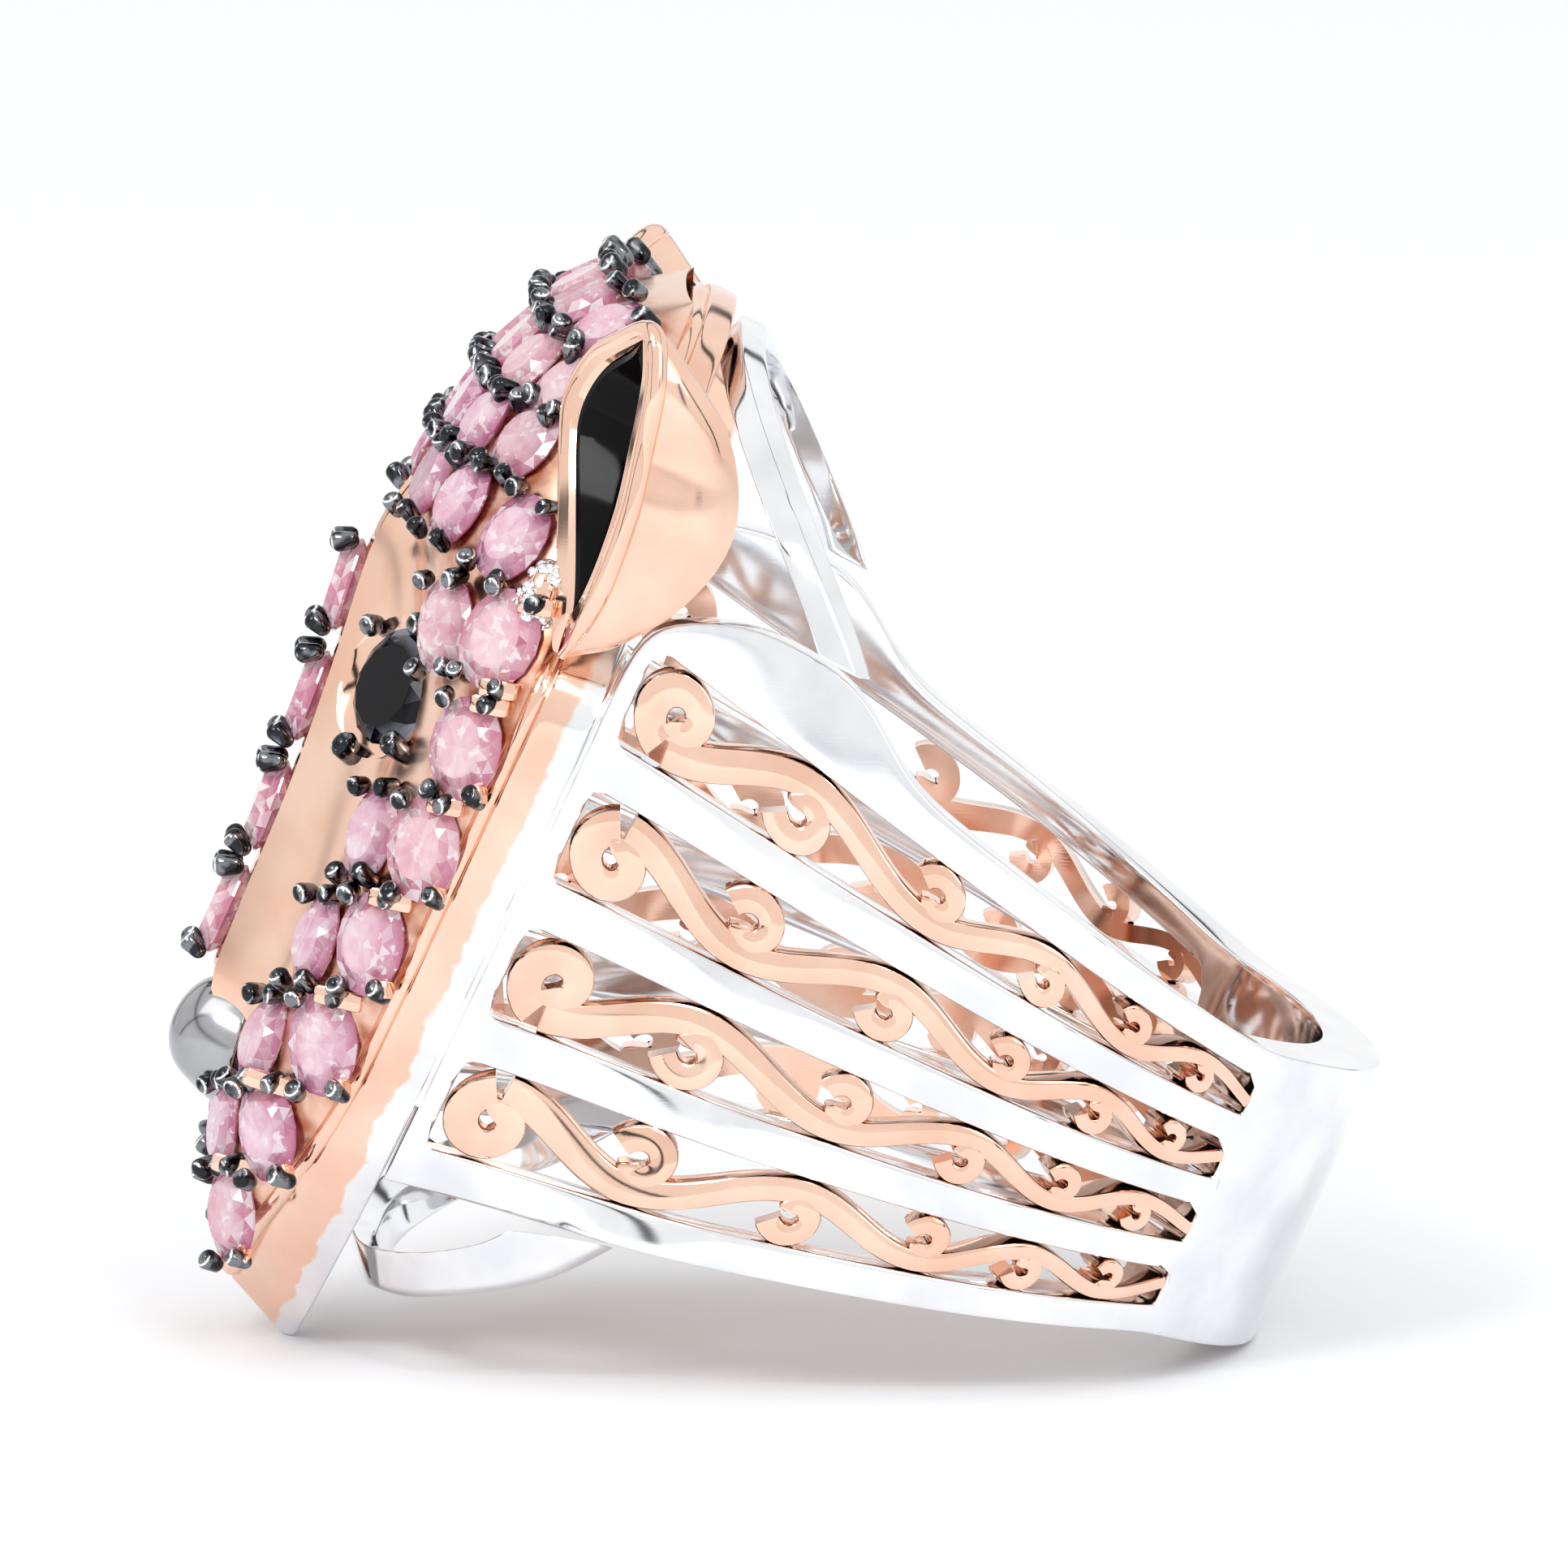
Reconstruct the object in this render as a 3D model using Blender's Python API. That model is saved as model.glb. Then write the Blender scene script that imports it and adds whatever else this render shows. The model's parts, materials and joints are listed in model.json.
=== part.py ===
"""A cocktail ring whose head is a stone-set animal face with two cupped ears.

Sizes are in millimetres and add_solid turns them into metres. The ring is modelled round its
finger axis, which is +Z here, with the face looking along -Y. The last lines lean the whole
ring forward until it stands on its chin and on the back of its shank, with the floor at z = 0.
"""

import math

import bmesh
import bpy
import numpy as np
from mathutils import Vector

METRES = 0.001

# Finger and shank
finger_radius = 8.65
back_wall = 1.65
shoulder_wall = 1.2
head_clearance = 2.65
shoulder_draw_in = 1.0
draw_in_start = 0.31
back_half_width = 3.8
width_taper = 0.24
lane_back_share = 0.69
lane_head_rail = 0.55
lane_rail_back = 0.77
lane_rail_head = 1.26
edge_rail_back = 0.75
edge_rail_head = 1.15
shoulder_start_back = 7.7
shoulder_full_back = 4.9
shoulder_top = 8.4
ear_line_back = 1.0
ear_line_slope = 1.6
back_step = math.radians(9.0)
lane_steps = 11

# Pierced scroll frets, one in each lane
lanes_per_side = 4
fret_gap = 0.03
fret_recess = 0.05
fret_depth = 0.95
curl_shares = (0.066, 0.261, 0.468, 0.64, 0.78, 0.904)
stem_overrun = 0.9
curl_drop = 0.07
first_curl_radius = 0.39
curl_start_radius = 0.36
curl_end_radius = 0.12
first_curl_turn = (255, -180)
curl_turn = (155, -230)
stem_width = 0.34
curl_width = 0.26
curl_tip_width = 0.13
curl_inset = 0.02
curl_half_span = 0.5

# Head frame, the wall that carries the face
frame_clearance = 0.05
frame_depth = 1.4
frame_wall = 1.0
chin_front_rise = 0.65
crown_back_rise = 0.65
chin_flare = 0.45
foot_cut = 0.3
seat_gap = 0.03
arch_wall = 0.75
ear_arch_foot_out = 0.296
chin_arch_foot_out = 0.762

# Face
face_wall = 1.0
face_edge = 0.35
dome_power = 2.3
dome_root = 0.62
valley_depth = 0.75
valley_place = 2.7
valley_width = 1.2

# Stones
stone_sides = 12
stone_height = 0.75
girdle_height = 0.35
base_scale = 0.55
table_scale = 0.62
stone_gap = 0.04
outer_tip = math.radians(14)
inner_tip = math.radians(12)
brow_tip = math.radians(5)
eye_tip = math.radians(36)

# Ears
ear_wall = 0.38
lining_gap = 0.06
lining_wall = 0.15
lining_rim_drop = 0.15

# Muzzle ridge and nose
ridge_half_top = 0.85
ridge_half_base = 1.2
ridge_shoulder = 0.2
ridge_side = 0.15
nose_up = -7.55
nose_half_up = 1.4
nose_half_side = 1.7
nose_rise = 4.65
nose_lip = 0.12

outer_radius = finger_radius + back_wall
quarter = outer_radius * math.pi / 2
shank_reach = finger_radius + head_clearance
frame_back = shank_reach + frame_clearance
frame_front = frame_back + frame_depth
lane_back_n = -lane_back_share * outer_radius
lane_head_n = shank_reach - lane_head_rail
lane_back_q = outer_radius * math.acos(lane_back_share)
lane_length = quarter + lane_head_n - lane_back_q

# Half outline of the head frame, from the chin over the cheek to the crown: (sideways, up)
frame_outline = [
    (0.0, -13.9),
    (2.1, -12.6),
    (4.6, -10.3),
    (6.6, -7.5),
    (8.2, -2.8),
    (8.95, 1.35),
    (9.2, 4.4),
    (8.6, 5.7),
    (7.2, 7.2),
    (6.5, 9.6),
    (5.7, 12.4),
    (3.9, 13.95),
    (0.0, 14.5),
]
# Half width of the face at each height: (up, half width)
face_widths = [
    (-12.9, 0.9),
    (-12.0, 2.5),
    (-10.2, 4.5),
    (-7.5, 6.5),
    (-5.0, 7.5),
    (-2.8, 8.15),
    (1.35, 8.9),
    (4.6, 9.05),
    (6.8, 8.5),
    (8.3, 8.1),
    (10.0, 7.2),
    (11.6, 6.1),
    (13.0, 5.2),
    (14.3, 3.4),
]
# Height of the face along its middle, without the muzzle ridge: (up, out of the frame's front)
face_middle = [
    (-12.9, 1.1),
    (-12.0, 1.4),
    (-10.5, 1.85),
    (-8.5, 2.55),
    (-6.0, 2.95),
    (-2.0, 3.0),
    (2.0, 3.2),
    (4.5, 3.85),
    (6.5, 4.55),
    (8.5, 4.4),
    (10.5, 4.15),
    (12.0, 3.45),
    (13.0, 2.9),
    (13.8, 1.95),
    (14.3, 0.6),
]
# Top of the muzzle ridge: (up, out of the frame's front)
ridge_top = [(-6.0, 4.35), (-4.0, 4.4), (-1.0, 4.5), (2.0, 4.75), (5.4, 5.15)]
# Ear: (up, outer rim sideways, inner rim sideways), then how far the outer rim, the inner rim
# and the ear's back stand out of the frame's front
ear_sections = [
    (5.8, 9.2, 8.95, 0.15, 0.3, -0.05),
    (6.4, 9.6, 8.9, 0.05, 0.55, -0.9),
    (7.1, 9.9, 8.8, 0.0, 0.8, -1.45),
    (8.1, 10.1, 8.6, 0.0, 1.2, -2.1),
    (9.8, 10.2, 8.05, 0.15, 1.9, -2.55),
    (11.3, 10.05, 7.4, 0.45, 2.45, -2.1),
    (12.6, 10.1, 7.5, 0.75, 2.35, -1.15),
    (13.4, 10.0, 8.2, 1.0, 1.95, -0.05),
    (14.0, 9.8, 9.1, 1.3, 1.6, 0.9),
]
# Arches: sideways as a share of the shank's outer radius, then the far edge's distance behind
# the head and its height, and the same for the near edge. None is on the shank's own edge.
ear_arch = [
    (0.97, 5.3, None, 4.1, None),
    (0.95, 4.3, 9.4, 3.3, 9.3),
    (0.865, 2.35, 11.2, 1.5, 11.0),
    (0.64, 0.6, 12.8, 0.1, 12.3),
    (0.35, -0.25, 13.7, -0.5, 12.9),
    (0.0, -0.45, 14.0, -0.6, 12.9),
]
chin_arch = [
    (0.903, 5.4, None, 3.1, None),
    (0.874, 4.1, -8.5, 2.6, -8.2),
    (0.767, 2.4, -9.8, 1.4, -9.2),
    (0.447, 1.0, -11.0, 0.3, -10.1),
    (0.0, 0.6, -11.5, 0.0, -10.5),
]
# Rows of stones on one side of the face, each (up, share of the face's half width there)
outer_row = [(5.45, 0.94), (2.72, 0.95), (0.0, 0.955), (-2.75, 0.93), (-5.6, 0.93)]
outer_row += [(-8.35, 0.88), (-10.85, 0.88)]
inner_row = [(5.0, 0.75), (-0.5, 0.72), (-3.6, 0.67), (-6.6, 0.58), (-9.2, 0.38)]
# Rows across the brow and the crown, each (sideways, up)
brow_row = [(2.9, 7.7), (5.2, 7.7), (7.3, 7.7)]
crown_row = [(2.15, 13.0), (4.1, 12.85)]
muzzle_row = (4.0, 1.1, -1.8, -4.6)


def clear_scene():
    for obj in list(bpy.data.objects):
        bpy.data.objects.remove(obj, do_unlink=True)


def smooth_through(points, steps):
    """Points on the smooth curve through the given points, with steps between each pair."""
    points = np.array(points, float)
    ends = np.vstack([2 * points[0] - points[1], points, 2 * points[-1] - points[-2]])
    found = []
    for i in range(len(points) - 1):
        before, start, end, after = ends[i : i + 4]
        for k in range(steps):
            t = k / steps
            found.append(
                0.5
                * (
                    2 * start
                    + (end - before) * t
                    + (2 * before - 5 * start + 4 * end - after) * t**2
                    + (3 * start - before - 3 * end + after) * t**3
                )
            )
    found.append(points[-1])
    return np.array(found)


def reader(points):
    """A function that reads the smooth curve through (x, y) points at any x."""
    curve = smooth_through(points, 12)
    return lambda x: float(np.interp(x, curve[:, 0], curve[:, 1]))


def eased(x, low, high):
    t = min(max((x - low) / (high - low), 0.0), 1.0)
    return t * t * (3 - 2 * t)


side_of_frame = smooth_through(frame_outline[:7], 12)
half_face = reader(face_widths)
middle_rise = reader(face_middle)
ridge_rise = reader(ridge_top)


def material(name, color, metallic, roughness):
    made = bpy.data.materials.new(name)
    made.use_nodes = True
    shader = made.node_tree.nodes["Principled BSDF"]
    shader.inputs["Base Color"].default_value = (*color, 1.0)
    shader.inputs["Metallic"].default_value = metallic
    shader.inputs["Roughness"].default_value = roughness
    made.diffuse_color = (*color, 1.0)
    return made


def at(side, out, up):
    """A point from its distances sideways, out of the finger towards the face, and up."""
    return Vector((side, -out, up))


def face_outwards(shape):
    bmesh.ops.recalc_face_normals(shape, faces=shape.faces)
    if shape.calc_volume(signed=True) < 0:
        bmesh.ops.reverse_faces(shape, faces=shape.faces)


def add_solid(name, vertices, faces, finish):
    mesh = bpy.data.meshes.new(name)
    shape = bmesh.new()
    made = [shape.verts.new(Vector(v) * METRES) for v in vertices]
    for face in faces:
        shape.faces.new([made[i] for i in face])
    face_outwards(shape)
    bmesh.ops.triangulate(shape, faces=shape.faces)
    shape.to_mesh(mesh)
    shape.free()
    mesh.materials.append(finish)
    mesh.shade_smooth()
    mesh.set_sharp_from_angle(angle=math.radians(35))
    obj = bpy.data.objects.new(name, mesh)
    bpy.context.scene.collection.objects.link(obj)
    obj.parent = stand
    return obj


def thick_sheet(name, outside, inside, finish):
    """A closed wall between two grids of points with the same rows and columns."""
    rows, columns = len(outside), len(outside[0])
    size = rows * columns
    vertices = [p for row in outside for p in row] + [p for row in inside for p in row]
    faces = []
    for r in range(rows - 1):
        for c in range(columns - 1):
            k = r * columns + c
            quad = (k, k + 1, k + columns + 1, k + columns)
            faces.append(quad)
            faces.append(tuple(i + size for i in reversed(quad)))
    around = [(0, c) for c in range(columns)]
    around += [(r, columns - 1) for r in range(1, rows)]
    around += [(rows - 1, c) for c in range(columns - 2, -1, -1)]
    around += [(r, 0) for r in range(rows - 2, 0, -1)]
    ring = [r * columns + c for r, c in around]
    for here, after in zip(ring, ring[1:] + ring[:1]):
        faces.append((here, after, after + size, here + size))
    return add_solid(name, vertices, faces, finish)


# The shank


def half_width(n):
    return back_half_width + width_taper * max(n - lane_back_n, 0.0)


def shank_top_edge(n):
    """The edge on the ears' side: it climbs to the shoulder that carries the arch, and is
    cut back where the ear sits on it."""
    climb = eased(n, shank_reach - shoulder_start_back, shank_reach - shoulder_full_back)
    shoulder = half_width(n) + (shoulder_top - half_width(n)) * climb
    ear_line = shoulder_top - ear_line_slope * (n - shank_reach + ear_line_back)
    return min(max(half_width(n), shoulder), ear_line)


def lane_edges(n):
    """The five rails' edges across the shank, from the chin's side to the ears' side."""
    t = (max(n, lane_back_n) - lane_back_n) / (lane_head_n - lane_back_n)
    rail = lane_rail_back + (lane_rail_head - lane_rail_back) * t
    edge = edge_rail_back + (edge_rail_head - edge_rail_back) * t
    lane = (half_width(n) - edge - 1.5 * rail) / 2
    inner = rail / 2
    half = [inner, inner + lane, inner + lane + rail, inner + 2 * lane + rail]
    return [-half_width(n)] + [-v for v in reversed(half)] + half + [shank_top_edge(n)]


def shoulder_side(up):
    """How far the head frame reaches sideways at this height, where the shoulders meet it."""
    if up > frame_outline[6][1]:
        return frame_outline[6][0]
    return float(np.interp(up, side_of_frame[:, 1], side_of_frame[:, 0]))


def path_point(q):
    """Sideways and outward place on the shank's outer face, q along it from the back."""
    if q < quarter:
        angle = q / outer_radius
        return outer_radius * math.sin(angle), -outer_radius * math.cos(angle)
    n = q - quarter
    return outer_radius - shoulder_draw_in * (n / shank_reach) ** 2, n


def shank_wall(q):
    return back_wall + (shoulder_wall - back_wall) * min(q / (quarter + shank_reach), 1.0)


def shank_point(q, up, depth, side):
    """A point on or under the shank's outer face. side is +1 or -1."""
    s, n = path_point(q)
    blend = eased(n, draw_in_start * shank_reach, shank_reach)
    s_out = s * (1 - blend) + shoulder_side(up) * blend
    if q < quarter:
        inward = (-s / outer_radius, -n / outer_radius)
    else:
        inward = (-1.0, 0.0)
    return at(side * (s_out + depth * inward[0]), n + depth * inward[1], up)


def shank_stations():
    """Distances from the middle of the back: over the plain band, along the lanes, at the tip."""
    count = int(lane_back_q / outer_radius / back_step - 0.7)
    plain = [(k + 0.5) * back_step * outer_radius for k in range(count + 1)]
    lane = [lane_back_q + lane_length * k / lane_steps for k in range(lane_steps + 1)]
    return plain, lane, [quarter + shank_reach]


def build_shank(finish):
    plain, lane, tip = shank_stations()
    half = plain + lane + tip
    stations = [(q, -1) for q in reversed(half)] + [(q, 1) for q in half]
    lines = 2 * (lanes_per_side + 1)
    vertices = []
    for q, side in stations:
        n = path_point(q)[1]
        wall = shank_wall(q)
        edges = lane_edges(n)
        vertices += [shank_point(q, up, 0.0, side) for up in edges]
        vertices += [shank_point(q, up, wall, side) for up in edges]
    count = len(stations)

    def is_open(span, cell):
        """Whether the cell between two stations and two lines is a lane's opening."""
        here = min(span, count - 2 - span)
        from_tip = len(half) - 1 - here
        return cell % 2 == 1 and len(plain) < from_tip < len(plain) + len(lane)

    def index(station, line, inner):
        return station * 2 * lines + inner * lines + line

    faces = []
    for span in range(count - 1):
        for cell in range(lines - 1):
            if is_open(span, cell):
                continue
            for inner in (0, 1):
                faces.append(
                    (
                        index(span, cell, inner),
                        index(span, cell + 1, inner),
                        index(span + 1, cell + 1, inner),
                        index(span + 1, cell, inner),
                    )
                )
            for line in (cell, cell + 1):
                other = cell - 1 if line == cell else cell + 1
                outside = other < 0 or other > lines - 2
                if outside or is_open(span, other):
                    faces.append(
                        (
                            index(span, line, 0),
                            index(span + 1, line, 0),
                            index(span + 1, line, 1),
                            index(span, line, 1),
                        )
                    )
            for station, other in ((span, span - 1), (span + 1, span + 1)):
                outside = other < 0 or other > count - 2
                if outside or is_open(other, cell):
                    faces.append(
                        (
                            index(station, cell, 0),
                            index(station, cell + 1, 0),
                            index(station, cell + 1, 1),
                            index(station, cell, 1),
                        )
                    )
    return add_solid("shank", vertices, faces, finish)


# The scroll frets


def lane_at(x, lane):
    """Middle and height of a lane at x from its head end, and the shank's q there."""
    q = quarter + lane_head_n - x
    n = path_point(q)[1]
    edges = lane_edges(n)
    low, high = edges[2 * lane + 1], edges[2 * lane + 2]
    return (low + high) / 2, high - low - 2 * fret_gap, q


def lane_height(x):
    return lane_at(x, 0)[1]


def ribbon(points, widths, low, high):
    """Vertices and faces of a flat closed strip along points, from low to high in depth."""
    points = np.array(points)
    ahead = np.gradient(points, axis=0)
    ahead /= np.linalg.norm(ahead, axis=1)[:, None]
    across = np.stack([-ahead[:, 1], ahead[:, 0]], axis=1) * np.array(widths)[:, None] / 2
    vertices = []
    for left, right in zip(points + across, points - across):
        for x, y in (left, right):
            vertices.append((x, y, low))
            vertices.append((x, y, high))
    faces = [(0, 1, 3, 2)]
    for k in range(len(points) - 1):
        a, b = 4 * k, 4 * (k + 1)
        faces.append((a, b, b + 1, a + 1))
        faces.append((a + 2, a + 3, b + 3, b + 2))
        faces.append((a, a + 2, b + 2, b))
        faces.append((a + 1, b + 1, b + 3, a + 3))
    end = 4 * (len(points) - 1)
    faces.append((end, end + 2, end + 3, end + 1))
    return vertices, faces


def stem_ribbon(turned):
    """The wavy stem, which passes each curl on alternate sides of the lane."""
    places = [share * lane_length for share in curl_shares] + [lane_length + stem_overrun]
    last = lane_length - fret_gap
    steps = 5
    waves = []
    for k in range(len(places) - 1):
        span = places[k + 1] - places[k]
        waves += [(places[k] + span * j / steps, k + j / steps) for j in range(steps)]
    waves = [(x, wave) for x, wave in waves if x < last]
    waves.append((last, len(places) - 2 + (last - places[-2]) / (places[-1] - places[-2])))
    points, widths = [], []
    for x, wave in waves:
        height = lane_height(x)
        reach = 0.5 * height * (1 - stem_width)
        points.append((x, -turned * reach * math.cos(math.pi * wave)))
        widths.append(stem_width * height)
    return points, widths


def curl_ribbon(number, turned):
    """One spiral. The first is the stem's own end and the others branch from the stem."""
    x = curl_shares[number] * lane_length
    room = min(x, lane_length - x) - fret_gap
    height = min(lane_height(x), room / curl_half_span)
    above = turned * (1 if number % 2 == 0 else -1)
    start, end = (math.radians(v) for v in (curl_turn if number else first_curl_turn))
    first = curl_start_radius if number else first_curl_radius
    thick = curl_width if number else stem_width
    steps = 10
    points, widths = [], []
    for k in range(steps + 1):
        t = k / steps
        angle = start + (end - start) * t
        radius = height * (first + (curl_end_radius - first) * t)
        middle = height * curl_drop
        points.append(
            (x + radius * math.cos(angle), above * (middle + radius * math.sin(angle)))
        )
        widths.append(height * (thick + (curl_tip_width - thick) * t))
    return points, widths


def flat_piece(name, ribbons, low, high):
    vertices, faces = [], []
    for points, widths in ribbons:
        more, sides = ribbon(points, widths, low, high)
        faces += [tuple(i + len(vertices) for i in side) for side in sides]
        vertices += more
    mesh = bpy.data.meshes.new(name)
    mesh.from_pydata(vertices, [], faces)
    shape = bmesh.new()
    shape.from_mesh(mesh)
    bmesh.ops.recalc_face_normals(shape, faces=shape.faces)
    shape.to_mesh(mesh)
    shape.free()
    obj = bpy.data.objects.new(name, mesh)
    bpy.context.scene.collection.objects.link(obj)
    return obj


def flat_fret(turned):
    """The stem and curls of one lane, joined while flat: points as (along, across, depth)."""
    low, high = fret_recess, fret_depth
    stem = flat_piece("stem_guide", [stem_ribbon(turned)], low, high)
    curls = [curl_ribbon(k, turned) for k in range(len(curl_shares))]
    branches = flat_piece("curl_guide", curls, low + curl_inset, high - curl_inset)
    join = stem.modifiers.new("join", "BOOLEAN")
    join.operation = "UNION"
    join.solver = "EXACT"
    join.use_self = True
    join.object = branches
    bpy.context.view_layer.update()
    evaluated = stem.evaluated_get(bpy.context.evaluated_depsgraph_get())
    joined = evaluated.to_mesh()
    vertices = [tuple(v.co) for v in joined.vertices]
    faces = [tuple(p.vertices) for p in joined.polygons]
    evaluated.to_mesh_clear()
    for helper in (stem, branches):
        bpy.data.objects.remove(helper, do_unlink=True)
    return vertices, faces


def build_frets(finish):
    flat = {turned: flat_fret(turned) for turned in (1, -1)}
    for lane in range(lanes_per_side):
        vertices, faces = flat[1 if lane % 2 else -1]
        for side, side_name in ((1, "right"), (-1, "left")):
            bent = []
            for x, y, depth in vertices:
                middle, _, q = lane_at(x, lane)
                bent.append(shank_point(q, middle + y, depth, side))
            add_solid(f"fret_{side_name}_{lane + 1}", bent, faces, finish)


# The head frame and the arches


def frame_loop(out, inset, front):
    """One edge of the frame's wall. The front edge is shorter at the chin than the back."""
    half = smooth_through(frame_outline, 2)
    loop = np.vstack([half, half[-2:0:-1] * [-1, 1]])
    ahead = np.roll(loop, -1, axis=0) - np.roll(loop, 1, axis=0)
    ahead /= np.linalg.norm(ahead, axis=1)[:, None]
    loop = loop + np.stack([-ahead[:, 1], ahead[:, 0]], axis=1) * inset
    points = []
    for s, up in loop:
        reach = out
        if front:
            reach += chin_drop(up)
            up += chin_flare * (reach - frame_back) * eased(-up, 8.0, 13.0)
        else:
            reach += crown_back_rise * eased(up, 10.5, 12.5)
        points.append(at(s, reach, up))
    return points


def build_frame(finish):
    loops = [
        frame_loop(frame_back, 0.0, False),
        frame_loop(frame_front, 0.0, True),
        frame_loop(frame_front, frame_wall, True),
        frame_loop(frame_back, frame_wall, False),
    ]
    count = len(loops[0])
    vertices = [p for loop in loops for p in loop]
    faces = []
    for k in range(4):
        here, after = k * count, (k + 1) % 4 * count
        for i in range(count):
            j = (i + 1) % count
            faces.append((here + i, here + j, after + j, after + i))
    frame = add_solid("head_frame", vertices, faces, finish)
    shape = bmesh.new()
    shape.from_mesh(frame.data)
    up = Vector((0.0, -math.sin(lean), math.cos(lean)))
    cut = bmesh.ops.bisect_plane(
        shape,
        geom=shape.verts[:] + shape.edges[:] + shape.faces[:],
        plane_co=foot_point * METRES,
        plane_no=up,
        clear_inner=True,
    )
    open_edges = [e for e in cut["geom_cut"] if isinstance(e, bmesh.types.BMEdge)]
    bmesh.ops.contextual_create(shape, geom=open_edges)
    face_outwards(shape)
    bmesh.ops.triangulate(shape, faces=shape.faces)
    shape.to_mesh(frame.data)
    shape.free()
    return frame


def shank_side(out, up):
    """How far the shank's outer surface is to the side at a place between back and head."""
    blend = eased(out, draw_in_start * shank_reach, shank_reach)
    return path_point(quarter + out)[0] * (1 - blend) + shoulder_side(up) * blend


def arch_span(sections):
    """The arch's sides are shares of this length, which puts its feet on the shank's wall."""
    out = shank_reach - (sections[0][1] + sections[0][3]) / 2
    if sections[-1][2] > 0:
        foot = shank_side(out, half_width(out)) + ear_arch_foot_out
    else:
        foot = shank_side(out, -half_width(out)) + chin_arch_foot_out
    return foot / sections[0][0]


def build_arch(name, sections, finish):
    """A band from one shoulder, under the head, to the other shoulder."""
    half = []
    span = arch_span(sections)
    for share, far_back, far_up, near_back, near_up in sections:
        far_out, near_out = shank_reach - far_back, shank_reach - near_back
        if far_up is None and sections[-1][2] > 0:
            far_up = shank_top_edge(far_out) + seat_gap
            near_up = shank_top_edge(near_out) + seat_gap
        elif far_up is None:
            far_up = -half_width(far_out) - seat_gap
            near_up = -half_width(near_out) - seat_gap
        half.append((share * span, far_out, far_up, near_out, near_up))
    half = smooth_through(half, 3)
    whole = np.vstack([half, half[-2::-1] * [-1, 1, 1, 1, 1]])
    outside, inside = [], []
    for side, far_out, far_up, near_out, near_up in whole:
        outer = [(side, far_out, far_up), (side, near_out, near_up)]
        outside.append([at(*p) for p in outer])
        row = []
        for s, out, up in outer:
            shrink = 1 - arch_wall / math.hypot(s, out)
            row.append(at(s * shrink, out * shrink, up))
        inside.append(row)
    return thick_sheet(name, outside, inside, finish)


# The face


def face_height(s, up):
    """How far the face's metal stands out of the finger at a place on it."""
    width = half_face(up)
    rim = frame_front + seat_gap + face_edge + chin_drop(up)
    share = min(abs(s) / width, 1.0)
    dome = max(1 - share**dome_power, 0.0) ** dome_root
    height = rim + (frame_front + middle_rise(up) - rim) * dome
    beside = math.exp(-(((abs(s) - valley_place) / valley_width) ** 2))
    along = eased(up, -7.5, -4.5) * (1 - eased(up, 4.0, 6.5))
    return height - valley_depth * beside * along


def chin_drop(up):
    """How far the frame's front, and the face on it, stand further out towards the chin."""
    return chin_front_rise * eased(-up, 6.0, 12.0)


def build_face(finish):
    rows, columns = 21, 17
    outside, inside = [], []
    low, high = face_widths[0][0], face_widths[-1][0]
    for r in range(rows):
        t = r / (rows - 1)
        up = low + (high - low) * t
        inner_up = low + face_wall + (high - low - 2 * face_wall) * t
        width = half_face(up)
        inner_width = max(half_face(inner_up) - face_wall, 0.3)
        top, under = [], []
        for c in range(columns):
            p = math.sin(math.pi / 2 * (2 * c / (columns - 1) - 1))
            top.append(at(p * width, face_height(p * width, up), up))
            share = 1 - abs(p) ** dome_power
            base = frame_front + seat_gap + chin_drop(inner_up)
            metal = frame_front + middle_rise(inner_up) - face_wall - 0.75 * valley_depth
            room = min(metal - base, 3.0)
            lift = max(room, 0.05) * max(share, 0.0) ** dome_root
            under.append(at(p * inner_width, base + lift, inner_up))
        outside.append(top)
        inside.append(under)
    # The rim under the edge of the dome, which sits on the frame
    for top, under in zip(outside, inside):
        for end in (0, -1):
            under[end] = Vector((top[end].x * 0.93, under[end].y, under[end].z))
    return thick_sheet("face_shell", outside, inside, finish)


def face_axes(s, up, turn):
    """Place, normal, and the directions along and across a stone on the face."""
    step = 0.05
    place = at(s, face_height(s, up), up)
    across = at(s + step, face_height(s + step, up), up)
    across -= at(s - step, face_height(s - step, up), up)
    along = at(s, face_height(s, up + step), up + step)
    along -= at(s, face_height(s, up - step), up - step)
    normal = across.cross(along).normalized()
    if normal.y > 0:
        normal.negate()
    along = (along - normal * along.dot(normal)).normalized()
    across = along.cross(normal)
    turned = along * math.cos(turn) + across * math.sin(turn)
    return place, normal, turned, turned.cross(normal)


def oval_stone(name, base, normal, along, across, length, width, finish):
    """A cut oval stone: a flat base, a girdle and a flat table."""
    rings = ((base_scale, 0.0), (1.0, girdle_height), (table_scale, stone_height))
    vertices = []
    for scale, height in rings:
        for k in range(stone_sides):
            angle = 2 * math.pi * k / stone_sides
            place = base + normal * height
            place = place + along * (0.5 * length * scale * math.cos(angle))
            place = place + across * (0.5 * width * scale * math.sin(angle))
            vertices.append(place)
    faces = [tuple(range(stone_sides))]
    faces.append(tuple(range(2 * stone_sides, 3 * stone_sides)))
    for ring in range(2):
        for k in range(stone_sides):
            here = ring * stone_sides + k
            after = ring * stone_sides + (k + 1) % stone_sides
            faces.append((here, after, after + stone_sides, here + stone_sides))
    return add_solid(name, vertices, faces, finish)


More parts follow.
